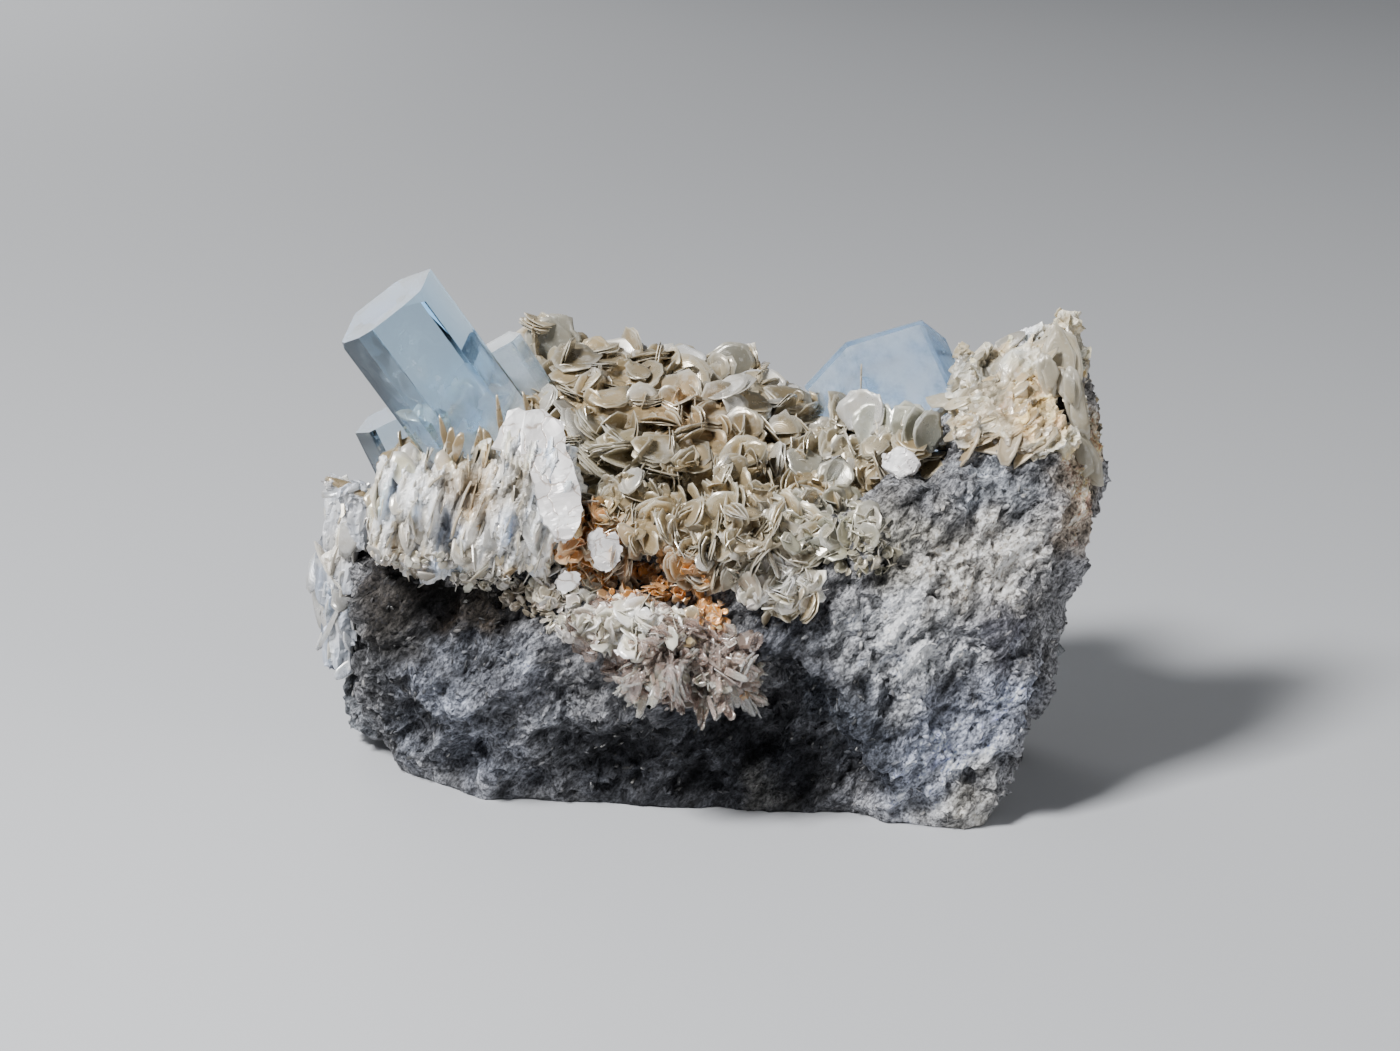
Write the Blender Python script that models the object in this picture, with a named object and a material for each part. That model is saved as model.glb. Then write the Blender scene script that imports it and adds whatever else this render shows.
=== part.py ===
"""Aquamarine crystals on their matrix: four beryl prisms stand in a crust of muscovite rosettes, on a wedge
of grey feldspar rock with mica books, albite blades, a white mica flake and two small quartz crystals.

Metres, +Z up, front towards -Y. The origin is on the flat underside that the rock rests on.
"""

import math
import random

import bmesh
import bpy
import numpy as np
from mathutils import Matrix, Vector, noise

MM = 0.001
GAP = 0.3 * MM  # clearance between neighbouring solids
UP = Vector((0, 0, 1))

# Rock: convex chunks in millimetres, welded by a remesh, then broken up by noise.
ROCK_VOXEL = 1.5 * MM
ROCK_TRIANGLES = 2100
ROCK_NOISE = ((15.0, 2.6, 3), (6.5, 1.3, 11))  # wavelength and height in millimetres, seed
LEDGE_STEP, LEDGE_DEPTH = 9.0, 0.5  # the broken ledges that run along the cleavage of the feldspar
LEDGE_NORMAL = Vector((0.75, 0.3, 0.6)).normalized()

LEFT_MASSIF = (
    (-33, -11, -3), (-46, 1, -3), (-44, 20, -3), (-10, 30, -3), (-4, -14, -3), (-55, 10, 5),
    (-37, -20, 23), (-18, -23, 27), (-50, -10, 22), (-55, 4, 24), (-54, 22, 24), (-12, 33, 26),
    (-47, -11, 38), (-20, -17, 40), (-52, 6, 41), (-48, 22, 44), (-14, 28, 50), (-22, -10, 49),
    (-43, -3, 50), (-40, 18, 52),
)
MIDDLE = (
    (-20, -13, -3), (8, -21, -3), (15, 28, -3), (-15, 31, -3), (-18, -23, 32), (12, -25, 32),
    (-19, -14, 45), (18, -16, 43), (18, 26, 49), (-14, 28, 54), (-16, 8, 51), (16, 4, 45), (0, 33, 30),
)
RIGHT_MASSIF = (
    (7, -22, -3), (38, -22, -3), (47, 0, -3), (43, 20, -3), (12, 28, -3), (13, -28, 28), (44, -23, 13),
    (51, -14, 30), (55, 8, 26), (47, 25, 28), (15, -24, 45), (30, -22, 53), (50, -17, 55), (58, 0, 49),
    (57, 15, 47), (40, 24, 46), (16, 24, 42), (60, 6, 47),
)
RIDGE = (
    (32, -18, 52), (50, -15, 55), (58, 0, 50), (56, 14, 52), (38, 16, 50), (35, 2, 60), (44, 6, 65),
    (51, 4, 68), (54, 8, 66), (52, 12, 60),
)
FAR_LEFT_FOOT = (
    (-56, 12, 2), (-50, 24, 1), (-42, 6, 1), (-58, 14, 9), (-46, 0, 10), (-44, 24, 14), (-54, 24, 8),
)
RIGHT_NUB = ((50, 8, 14), (54, 14, 12), (50, 20, 15), (53, 12, 20), (46, 12, 8), (46, 18, 22))
ROCK_CHUNKS = (LEFT_MASSIF, MIDDLE, RIGHT_MASSIF, RIDGE, FAR_LEFT_FOOT, RIGHT_NUB)

UNDERCUT = (  # the scoop below the albite, in the front of the rock
    (-30, -40, 10), (-12, -40, 19), (16, -40, 30), (27, -40, 12), (37, -40, -8), (-30, -40, -8),
    (-18, -16, 5), (-6, -15, 14), (14, -18, 25), (22, -18, 13), (24, -19, -8), (-24, -11, -8),
)
BOOK_NOTCH = (  # the shadowed overhang below the left mica books
    (-52, -40, 32), (-26, -40, 30), (-20, -40, 36), (-52, -40, 39), (-46, -12, 33), (-27, -16, 32),
    (-22, -18, 38), (-46, -12, 39),
)
PITS = (  # centre and radii in millimetres
    ((-32, -23.5, 24.5), (2.2, 3, 1.8)), ((-39, -18.5, 10), (5.5, 5, 3.4)),
    ((48, -18, 22), (3.4, 4, 3)), ((34, -25, 26), (2.4, 3, 2)), ((-20, 33, 30), (6, 4, 5)),
    ((28, 30, 24), (7, 5, 6)),
)

# Aquamarine: six-sided beryl prisms. A face is the angle of its outward normal, in degrees counted from the
# prism's own right-hand side, and its distance from the axis in millimetres.
BERYLS = {
    # name: centre of the end face, axis, roll in degrees, length, faces
    "main_aquamarine": (
        (-47.7, -3.0, 74.0), (-0.551, -0.093, 0.829), 22.7, 38.0,
        ((-90, 6.8), (-30, 7.25), (30, 8.25), (90, 7.85), (150, 6.6), (210, 8.35), (240, 8.0)),
    ),
    "second_aquamarine": (
        (-31.8, 10.6, 65.2), (-0.52, -0.042, 0.853), -6.0, 26.0,
        ((-90, 3.3), (-30, 4.2), (30, 2.8), (90, 3.3), (150, 4.2), (210, 2.8)),
    ),
    "small_left_aquamarine": (
        (-49.8, 12.5, 53.0), (-0.397, -0.062, 0.916), 15.0, 26.0,
        ((-90, 4.2), (-30, 3.7), (30, 4.7), (90, 4.3), (150, 3.7), (210, 4.7)),
    ),
    "big_right_aquamarine": (
        (25.7, 26.0, 57.9), (-0.333, 0.642, 0.690), 2.2, 36.0,
        ((-90, 9.95), (-30, 10.9), (30, 9.3), (90, 10.6), (150, 10.3), (210, 9.9)),
    ),
}
CHIPS = (  # corner of the main prism's end, then how far a break reaches along its two rims and down its edge
    (0, 3.1, 1.0, 1.5), (2, 0.9, 0.9, 0.7), (4, 0.9, 0.9, 0.9),
)
QUARTZES = {
    # name: tip, axis, girth, length
    "valley_quartz": ((18.6, -8.5, 52.9), (0.1, -0.35, 0.93), 2.9, 9.0),
    "rear_quartz": ((55.4, 15.0, 14.6), (0.95, 0.1, -0.1), 3.4, 9.0),
}

# A plate is its centre, facing direction, rise, width, height and thickness.
WHITE_FLAKE = ((27.8, -15.0, 53.8), (-0.1, -0.9, 0.45), (0.2, 0.3, 1), 6.2, 4.8, 1.6)

# Rooms keep one cluster of plates clear of the next: each is the hull of these corners.
BOOKS_ROOM = (
    (-50.3, -34, 20), (-19, -34, 20), (-19, -9.5, 20), (-50.3, -6, 20), (-50.3, -34, 75),
    (-18, -34, 75), (-19, -9.5, 75), (-50.3, -6, 75),
)
ALBITE_ROOM = (
    (-24, -34, 8), (9, -34, 8), (9, -12, 8), (-24, -12, 8), (-24, -34, 36), (7, -34, 36), (7, -12, 38),
    (-24, -12, 38),
)
RIDGE_ROOM = (
    (32, -30, 45), (64, -30, 45), (64, 30, 45), (36, 30, 45), (38, -30, 80), (64, -30, 80),
    (64, 30, 80), (40, 30, 80),
)
BLADES_ROOM = (
    (-66, -12, 0), (-50.7, -12, 0), (-50.7, 30, 0), (-66, 30, 0), (-66, -12, 50), (-50.7, -12, 50),
    (-50.7, 30, 50), (-66, 30, 50),
)

CRUST_BED = (  # centre, radii and turn of the mounds below the rosettes
    ((-21, 14, 55), (12, 9, 7), 10), ((-7, 19, 54), (12, 9, 7), 0), ((6, 18, 51), (11, 9, 6), 0),
    ((-14, 3, 51), (12, 10, 7), 0), ((0, 2, 48), (13, 11, 7), 0), ((-12, -13, 44), (8, 8, 7), 0),
    ((0, -17, 42), (9, 7, 7), 0), ((8, -19, 43), (9, 7, 7), 0), ((11, -23, 38), (5, 4, 6), 0),
    ((18, 4, 47), (9, 9, 7), 0), ((26, -3, 49), (8, 8, 6), 0), ((-32, 3, 51), (13, 9, 7), 0),
    ((-44, 8, 46), (8, 8, 7), 0), ((14, -8, 45), (10, 8, 6), 0), ((-34, 18, 52), (10, 7, 5), 0),
)
ROSETTES = (  # centre, lean of its axis, plate size, number of plates
    ((-23.7, 20, 60), (0.1, -0.2, 1), 9.5, 3), ((-16, 18, 58), (0.3, -0.2, 1), 7, 3),
    ((-8, 21, 57), (0, 0, 1), 8, 3), ((3, 22, 55), (0, -0.1, 1), 8.5, 3),
    ((12, 19, 52), (0.2, 0.2, 1), 7, 3), ((-22, 8, 55), (-0.2, -0.5, 1), 8, 4),
    ((-14, 8, 57), (0.1, -0.4, 1), 8, 4), ((-3, 5, 55), (0.2, -0.3, 1), 7.5, 4),
    ((5, 6, 53.5), (0.2, -0.4, 1), 8, 3), ((-17, -5, 52), (-0.6, -0.6, 1), 9, 4),
    ((-5, -6, 51.5), (0, -0.6, 1), 7, 4), ((-13, -18, 46), (-0.3, -1, 0.8), 8, 4),
    ((-14, -18.5, 41), (-0.2, -1, 0.3), 6, 2), ((-3, -20.5, 44), (0, -1, 0.8), 7, 4),
    ((-2, -21, 39.5), (0, -1, 0.3), 6, 2), ((6, -23, 46), (0.1, -0.9, 0.9), 8, 4),
    ((6, -25, 40.5), (-0.2, -1, 0.2), 6, 2), ((13, -23, 43), (0.6, -1, 0.5), 6, 4),
    ((11, -25, 36.5), (0.2, -1, -0.1), 5, 3), ((22, 3, 51), (0, -0.4, 1), 8, 4),
    ((31, -5, 53), (0.1, -0.5, 1), 7, 3), ((15, -4, 48), (0, -0.5, 1), 6, 3),
    ((-38, -2, 51), (-0.4, -0.6, 1), 6, 3), ((-30, 18, 54), (-0.2, 0.6, 1), 7, 3),
    ((-6, 27, 52), (0, 1, 0.6), 7, 3), ((10, 25, 48), (0.2, 1, 0.5), 6, 2),
    ((-30, 3, 55), (-0.3, -0.3, 1), 7, 4), ((5, -12, 49), (0.1, -0.7, 1), 7, 4),
    ((0, 13, 54), (0, -0.2, 1), 7, 3), ((-9, 14, 57), (-0.1, -0.2, 1), 7, 3),
    ((18, 10, 49), (0.2, 0.2, 1), 6, 2), ((-42, 4, 50), (-0.3, -0.3, 1), 5, 2),
    ((-20, 26, 52), (-0.1, 1, 0.7), 7, 2), ((14, -13, 46), (0.2, -0.7, 1), 6, 3),
)
PLATE_THICKNESS = 1.1  # the rosettes' thicker plates, in millimetres
GOLDEN_ANGLE = 2.4  # radians, turns each plate of a rosette well away from the one before

RIDGE_BED = (
    ((42.5, -4, 58.5), (7.5, 9, 5.5), 0), ((48, 0, 62), (7, 9, 6), 0), ((52, 6, 63), (5, 7, 6), 0),
    ((38, 8, 58), (6, 6, 6), 0), ((47, -13, 57), (7, 5, 5), 0),
)
RIDGE_BOOKS = (
    ((53.3, 4, 67.6), (0.9, -0.4, 0.1), (0, 0.1, 1), 8, 9, 3.0),
    ((49.5, 3, 67.0), (0.6, -0.7, 0.3), (-0.4, 0, 1), 8, 7, 2.0),
    ((46, 3, 66.0), (0.3, -0.8, 0.5), (-0.7, 0, 1), 9, 6, 1.6),
    ((42, 1, 64.5), (0.2, -0.7, 0.7), (-0.6, 0.4, 1), 9, 6, 1.6),
    ((38, 3, 63.5), (-0.2, -0.8, 0.5), (0.2, 0.3, 1), 7, 6, 1.6),
    ((36.8, 8, 63.3), (-0.5, -0.8, 0.2), (0, 0, 1), 6, 6, 1.4),
    ((44, -7, 62), (0.3, -0.4, 0.9), (0.8, 0.4, 0.2), 9, 6, 1.4),
    ((39, -6, 61), (-0.3, -0.5, 0.8), (0.8, -0.4, 0.2), 8, 6, 1.4),
    ((48, -13, 60.5), (0.5, -0.6, 0.6), (0, 0.6, 0.8), 8, 7, 1.6),
    ((53, -5, 62), (0.9, -0.3, 0.4), (0, 0.2, 1), 9, 9, 1.6),
    ((56, 3, 58), (1, -0.1, 0.2), (0, 0, 1), 9, 12, 1.8),
    ((37.5, -12, 57.5), (-0.4, -0.8, 0.5), (0.5, 0, 1), 7, 6, 1.6),
    ((56.5, 5, 50), (1, -0.2, 0), (0, 0, 1), 9, 9, 2.0),
)

BOOKS_BED = (
    ((-41, -13, 43), (9, 8, 8), 0), ((-29, -16, 45), (10, 8, 9), 0), ((-25, -15, 51), (7, 6, 6), 0),
)
BOOK_COLUMNS = 9  # upright books from left to right
BOOK_FIRST, BOOK_LAST = (-47.5, -15.0, 46.0), (-23.5, -18.5, 49.0)
BOOK_SIZE = (12.0, 17.0, 3.3)  # depth, height, thickness
WHITE_FACE = ((-25.2, -19.5, 57.0), (0.15, -0.8, 0.6), (-0.35, 0.4, 0.8), 10, 9, 2.2)
WHITE_EDGE = ((-21.2, -21.5, 49.5), (0.75, -0.6, 0.2), (-0.15, 0.05, 1), 7, 15, 2.0)

EDGE_BLADES = (
    ((-57.5, 8, 31), (-0.8, -0.6, 0.1), (0.05, 0, 1), 9, 15, 2.4),
    ((-55.0, 1.5, 20.5), (-0.45, -0.9, 0), (-0.08, 0, 1), 6, 11, 2.6),
    ((-58.0, 9, 20), (-0.9, -0.4, 0), (-0.05, 0, 1), 8, 13, 2.4),
    ((-54.5, 1, 33), (-0.3, -0.9, 0.2), (0.2, 0, 1), 7, 10, 3.0),
    ((-55.8, 9, 39.5), (-0.4, -0.9, 0.2), (0, 0.1, 1), 7.5, 7, 2.4),
    ((-54.0, 5, 26), (-0.5, -0.8, 0), (0.1, 0, 1), 8, 16, 3.4),
    ((-54.0, 14, 32), (-1, 0.2, 0), (0, 0, 1), 10, 14, 2.6),
    ((-54.0, -3, 46.0), (0.2, -0.5, 0.85), (-0.93, 0.1, 0.36), 3.4, 10, 1.5),
)
BLADES_BED = (
    ((-53, 7, 30), (4, 8, 13), 0), ((-52.2, 0, 41), (3, 5, 6), 0),
)

ALBITE_BED = (
    ((-3, -21.5, 30), (8, 5, 5), 0), ((-11, -21.5, 32.5), (8, 4.5, 4), 0),
)
ALBITE_ROOTS = ((-1.5, -22.0, 30.5), (-11.5, -21.5, 33.0))
ALBITE_COUNT = 13  # blades from each root
ALBITE_SIZE = (3.6, 14.0, 1.1)  # width, length, thickness

# The triangles that the mounds under each cluster are thinned to. A seed fixes how its plates vary.
CRUST_BED_TRIANGLES, BOOKS_BED_TRIANGLES, RIDGE_BED_TRIANGLES = 260, 110, 150
BLADES_BED_TRIANGLES, ALBITE_BED_TRIANGLES = 60, 80
BOOKS_SEED, ALBITE_SEED, RIDGE_SEED, BLADES_SEED, FLAKE_SEED = 5, 17, 100, 130, 60


def mm(*values):
    """A point or a size given in millimetres, in metres."""
    return Vector(values) * MM


def clear_scene():
    for item in list(bpy.data.objects):
        bpy.data.objects.remove(item, do_unlink=True)


def material(name, colour, roughness, transmission=0.0):
    made = bpy.data.materials.new(name)
    made.use_nodes = True
    shader = made.node_tree.nodes["Principled BSDF"]
    shader.inputs["Base Color"].default_value = (*colour, 1)
    shader.inputs["Roughness"].default_value = roughness
    shader.inputs["Metallic"].default_value = 0.0
    shader.inputs["Transmission Weight"].default_value = transmission
    made.diffuse_color = (*colour, 1)
    return made


def placed(name, built, finish=None):
    """An object from a bmesh, linked to the scene."""
    mesh = bpy.data.meshes.new(name)
    built.to_mesh(mesh)
    built.free()
    item = bpy.data.objects.new(name, mesh)
    bpy.context.scene.collection.objects.link(item)
    if finish:
        mesh.materials.append(finish)
    return item


def baked(item):
    """Applies the modifiers, so that the next step works on the plain mesh."""
    graph = bpy.context.evaluated_depsgraph_get()
    mesh = bpy.data.meshes.new_from_object(item.evaluated_get(graph))
    item.modifiers.clear()
    item.data = mesh
    return item


def removed(*items):
    for item in items:
        bpy.data.objects.remove(item, do_unlink=True)


def joined(name, items):
    """One object that holds the meshes of several, still as separate shells."""
    together = bmesh.new()
    for item in items:
        together.from_mesh(item.data)
    removed(*items)
    return placed(name, together)


def boolean(item, other, operation, overlapping=False):
    step = item.modifiers.new(operation.lower(), "BOOLEAN")
    step.operation = operation
    step.solver = "EXACT"
    step.use_self = overlapping
    step.object = other
    return baked(item)


def remeshed(item, voxel):
    step = item.modifiers.new("weld", "REMESH")
    step.mode = "VOXEL"
    step.voxel_size = voxel
    return baked(item)


def thinned(item, triangles):
    faces = sum(len(face.vertices) - 2 for face in item.data.polygons)
    if faces > triangles:
        step = item.modifiers.new("thin", "DECIMATE")
        step.ratio = triangles / faces
        baked(item)
    return item


def grown(item, by):
    """A copy whose skin stands off by that much, used to cut a neighbour with clearance."""
    built = bmesh.new()
    built.from_mesh(item.data)
    built.normal_update()
    for vertex in built.verts:
        vertex.co += vertex.normal * by * vertex.calc_shell_factor()
    return placed(item.name + "_clearance", built)


def hull(name, corners):
    built = bmesh.new()
    for corner in corners:
        built.verts.new(mm(*corner))
    made = bmesh.ops.convex_hull(built, input=built.verts)
    bmesh.ops.delete(built, geom=made["geom_interior"], context="VERTS")
    bmesh.ops.recalc_face_normals(built, faces=built.faces)
    return placed(name, built)


def ellipsoid(name, centre, radii, turn=0.0):
    built = bmesh.new()
    bmesh.ops.create_icosphere(built, subdivisions=2, radius=1)
    spread = Matrix.Diagonal((*mm(*radii), 1))
    place = Matrix.Translation(mm(*centre)) @ Matrix.Rotation(math.radians(turn), 4, "Z") @ spread
    bmesh.ops.transform(built, matrix=place, verts=built.verts)
    return placed(name, built)


def largest_body(item):
    """Keeps the biggest connected shell: a Boolean can leave chips behind."""
    built = bmesh.new()
    built.from_mesh(item.data)
    built.verts.ensure_lookup_table()
    unseen, bodies = set(built.verts), []
    while unseen:
        body, edge = set(), [unseen.pop()]
        while edge:
            vertex = edge.pop()
            body.add(vertex)
            near = {e.other_vert(vertex) for e in vertex.link_edges} & unseen
            unseen -= near
            edge.extend(near)
        bodies.append(body)
    bodies.sort(key=len)
    for body in bodies[:-1]:
        bmesh.ops.delete(built, geom=list(body), context="VERTS")
    built.to_mesh(item.data)
    built.free()
    return item


# --- Rock -----------------------------------------------------------------------------------------


def roughened(item, layers):
    """Pushes each vertex along its normal by layers of noise and by the ledges of the broken feldspar."""
    built = bmesh.new()
    built.from_mesh(item.data)
    built.normal_update()
    moves = []
    for vertex in built.verts:
        place = vertex.co / MM
        push = sum(
            height * noise.noise(place / wavelength + Vector((seed, 0, 0)))
            for wavelength, height, seed in layers
        )
        along = place.dot(LEDGE_NORMAL) / LEDGE_STEP + noise.noise(place / 18)
        push += LEDGE_DEPTH * (abs((along % 1.0) * 2 - 1) - 0.5)
        moves.append(vertex.normal * push * MM)
    for vertex, move in zip(built.verts, moves):
        vertex.co += move
    built.to_mesh(item.data)
    built.free()
    return item


def rested(item):
    """Cuts the rock off flat at z = 0, the face that it rests on."""
    built = bmesh.new()
    built.from_mesh(item.data)
    bmesh.ops.bisect_plane(
        built, geom=built.verts[:] + built.edges[:] + built.faces[:],
        plane_co=(0, 0, 0), plane_no=(0, 0, -1), clear_outer=True,
    )
    rim = [edge for edge in built.edges if edge.is_boundary]
    bmesh.ops.holes_fill(built, edges=rim)
    bmesh.ops.triangulate(built, faces=built.faces)
    bmesh.ops.recalc_face_normals(built, faces=built.faces)
    built.to_mesh(item.data)
    built.free()
    return item


def make_rock():
    rock = joined("rock_matrix", [hull(f"chunk_{i}", chunk) for i, chunk in enumerate(ROCK_CHUNKS)])
    remeshed(rock, ROCK_VOXEL)
    hollows = [hull("undercut", UNDERCUT), hull("book_notch", BOOK_NOTCH)]
    hollows += [ellipsoid(f"pit_{i}", centre, radii) for i, (centre, radii) in enumerate(PITS)]
    for hollow in hollows:
        boolean(rock, hollow, "DIFFERENCE")
    removed(*hollows)
    remeshed(rock, ROCK_VOXEL)
    roughened(rock, ROCK_NOISE)
    thinned(rock, ROCK_TRIANGLES)
    return largest_body(rested(rock))


# --- Beryl and quartz ------------------------------------------------------------------------------


def frame_of(axis, roll):
    """A rotation whose Z is the crystal's axis, and whose X is the world's X turned by roll about it."""
    along = Vector(axis).normalized()
    right = (Vector((1, 0, 0)) - along * along.x).normalized()
    right.rotate(Matrix.Rotation(math.radians(roll), 3, along))
    return Matrix((right, along.cross(right), along)).transposed()


def section(faces):
    """Corners of the prism's cross-section, where the lines of neighbouring faces meet."""
    corners = []
    for (turn, distance), (next_turn, next_distance) in zip(faces, faces[1:] + faces[:1]):
        a, b = math.radians(turn), math.radians(next_turn)
        rows = np.array(((math.cos(a), math.sin(a)), (math.cos(b), math.sin(b))))
        corners.append(np.linalg.solve(rows, (distance, next_distance)))
    return corners


def prism(name, finish, end, axis, roll, length, faces, spare=0.0):
    """A beryl prism hanging down its axis from the middle of its end face; spare widens it for a cutter."""
    wider = tuple((turn, distance + spare) for turn, distance in faces)
    built = bmesh.new()
    rings = []
    for height in (spare, -length):
        rings.append([built.verts.new(mm(x, y, height)) for x, y in section(wider)])
    top, bottom = rings
    built.faces.new(top)
    built.faces.new(bottom[::-1])
    for i in range(len(top)):
        built.faces.new((top[i - 1], bottom[i - 1], bottom[i], top[i]))
    place = Matrix.Translation(mm(*end)) @ frame_of(axis, roll).to_4x4()
    bmesh.ops.transform(built, matrix=place, verts=built.verts)
    bmesh.ops.recalc_face_normals(built, faces=built.faces)
    return placed(name, built, finish)


def chipped(item, end, axis, roll, length, faces):
    """Breaks small pieces from the corners of a prism's end."""
    place = Matrix.Translation(mm(*end)) @ frame_of(axis, roll).to_4x4()
    corners = [mm(x, y, 0) for x, y in section(faces)]
    built = bmesh.new()
    built.from_mesh(item.data)
    for index, before, after, down in CHIPS:
        corner = corners[index]
        toward = (corners[index - 1] - corner).normalized() * before * MM
        onward = (corners[(index + 1) % len(corners)] - corner).normalized() * after * MM
        points = [place @ (corner + step) for step in (toward, onward, mm(0, 0, -down))]
        normal = (points[1] - points[0]).cross(points[2] - points[0]).normalized()
        if normal.dot(place @ corner - points[0]) < 0:
            normal.negate()
        everything = built.verts[:] + built.edges[:] + built.faces[:]
        cut = bmesh.ops.bisect_plane(
            built, geom=everything, plane_co=points[0], plane_no=normal, clear_outer=True
        )
        rim = [edge for edge in cut["geom_cut"] if isinstance(edge, bmesh.types.BMEdge)]
        bmesh.ops.contextual_create(built, geom=rim)
    bmesh.ops.recalc_face_normals(built, faces=built.faces)
    built.to_mesh(item.data)
    built.free()


def quartz(name, finish, tip, axis, girth, length, spare=0.0):
    """A stubby six-sided quartz crystal with a slightly lopsided point."""
    built = bmesh.new()
    wide = girth + spare
    rings = []
    for height, share in ((-0.9 * girth, 1.0), (-length, 0.9)):
        turns = [math.radians(60 * i + 12) for i in range(6)]
        reach = wide * share
        rings.append([built.verts.new(mm(reach * math.cos(t), reach * math.sin(t), height)) for t in turns])
    point = built.verts.new(mm(0.18 * girth, 0.1 * girth, spare * 2))
    top, bottom = rings
    built.faces.new(bottom[::-1])
    for i in range(6):
        built.faces.new((top[i - 1], bottom[i - 1], bottom[i], top[i]))
        built.faces.new((top[i - 1], top[i], point))
    place = Matrix.Translation(mm(*tip)) @ frame_of(axis, 0).to_4x4()
    bmesh.ops.transform(built, matrix=place, verts=built.verts)
    bmesh.ops.recalc_face_normals(built, faces=built.faces)
    return placed(name, built, finish)


# --- Mica and albite -------------------------------------------------------------------------------


def plate(built, centre, facing, rise, width, height, thickness, seed, corners=7):
    """Adds a closed mica plate: a flat book with an uneven, nearly six-sided outline."""
    chance = random.Random(seed)
    normal = Vector(facing).normalized()
    up = Vector(rise)
    up = (up - normal * up.dot(normal)).normalized()
    across = up.cross(normal)
    turn = chance.uniform(0, math.tau)
    outline = []
    for i in range(corners):
        angle = turn + math.tau * (i + chance.uniform(-0.25, 0.25)) / corners
        reach = chance.uniform(0.84, 1.1) / 2
        outline.append(across * (width * reach * math.cos(angle)) + up * (height * reach * math.sin(angle)))
    front = [built.verts.new(mm(*centre) + (point + normal * thickness / 2) * MM) for point in outline]
    back = [built.verts.new(mm(*centre) + (point - normal * thickness / 2) * MM) for point in outline]
    faces = [built.faces.new(front), built.faces.new(back[::-1])]
    for i in range(corners):
        faces.append(built.faces.new((front[i - 1], back[i - 1], back[i], front[i])))
    bmesh.ops.recalc_face_normals(built, faces=faces)


def rosette(built, centre, lean, size, plates, seed):
    """Mica plates that open out like petals from one root."""
    chance = random.Random(seed)
    axis = Vector(lean).normalized()
    side = axis.cross(Vector((0.3, 1, 0.1))).normalized()
    other = axis.cross(side)
    for i in range(plates):
        azimuth = GOLDEN_ANGLE * i + chance.uniform(-0.3, 0.3)
        opening = math.radians(15 + 50 * math.sqrt(i / plates))
        outward = side * math.cos(azimuth) + other * math.sin(azimuth)
        rise = axis * math.cos(opening) + outward * math.sin(opening)
        facing = rise.cross(axis.cross(outward))
        where = Vector(centre) + outward * size * 0.25 + rise * size * 0.3
        grow = chance.uniform(0.8, 1.1)
        wide = size * grow
        plate(built, where, facing, rise, wide, wide, PLATE_THICKNESS, chance.random(), corners=6)


def mounds(name, bed, triangles):
    """The lumps that plates grow from, welded and thinned."""
    parts = [ellipsoid(f"{name}_{i}", *lump) for i, lump in enumerate(bed)]
    welded = thinned(remeshed(joined(name, parts), ROCK_VOXEL), triangles)
    return welded


def cluster(name, finish, bed, triangles, plates, room=None, clear_of=()):
    """Plates fused to their bed, kept inside their room and clear of the pieces given."""
    body = boolean(mounds(name, bed, triangles), placed("plates", plates), "UNION", overlapping=True)
    removed(bpy.data.objects["plates"])
    if room:
        boolean(body, room, "INTERSECT")
    for other in clear_of:
        boolean(body, other, "DIFFERENCE")
    largest_body(body)
    body.data.materials.clear()
    body.data.materials.append(finish)
    return body


def crust_plates():
    built = bmesh.new()
    for seed, (centre, lean, size, plates) in enumerate(ROSETTES):
        rosette(built, centre, lean, size, plates, seed)
    return built


def book_plates():
    built = bmesh.new()
    chance = random.Random(BOOKS_SEED)
    for i in range(BOOK_COLUMNS):
        share = i / (BOOK_COLUMNS - 1)
        centre = Vector(BOOK_FIRST).lerp(Vector(BOOK_LAST), share) + Vector((0, 0, chance.uniform(-1, 1.5)))
        facing = Vector((1, chance.uniform(-0.25, 0.15), chance.uniform(-0.32, -0.18)))
        depth, height, thickness = BOOK_SIZE
        tall = height * chance.uniform(0.85, 1.05)
        plate(built, centre, facing, (0.25, 0, 1), depth, tall, thickness, i + 40)
    plate(built, *WHITE_FACE, 61)
    plate(built, *WHITE_EDGE, 62)
    return built


def listed_plates(books, seed):
    built = bmesh.new()
    for i, book in enumerate(books):
        plate(built, *book, seed + i)
    return built


def albite_plates():
    """Bladed crystals that spray forwards and down from one root."""
    built = bmesh.new()
    chance = random.Random(ALBITE_SEED)
    width, length, thickness = ALBITE_SIZE
    for i in range(ALBITE_COUNT * len(ALBITE_ROOTS)):
        spread = math.radians(-100 + 200 * (i % ALBITE_COUNT + 0.5) / ALBITE_COUNT)
        forward = chance.uniform(0.35, 0.95)
        rise = Vector((math.sin(spread), -forward, -0.75 * math.cos(spread))).normalized()
        facing = rise.cross(Vector((chance.uniform(-1, 1), chance.uniform(-1, 1), chance.uniform(-1, 1))))
        reach = length * chance.uniform(0.7, 1.1)
        centre = Vector(ALBITE_ROOTS[i // ALBITE_COUNT]) + rise * reach * 0.45
        wide = width * chance.uniform(0.7, 1.2)
        plate(built, centre, facing, rise, wide, reach, thickness, i + 80, corners=6)
    return built


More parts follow.
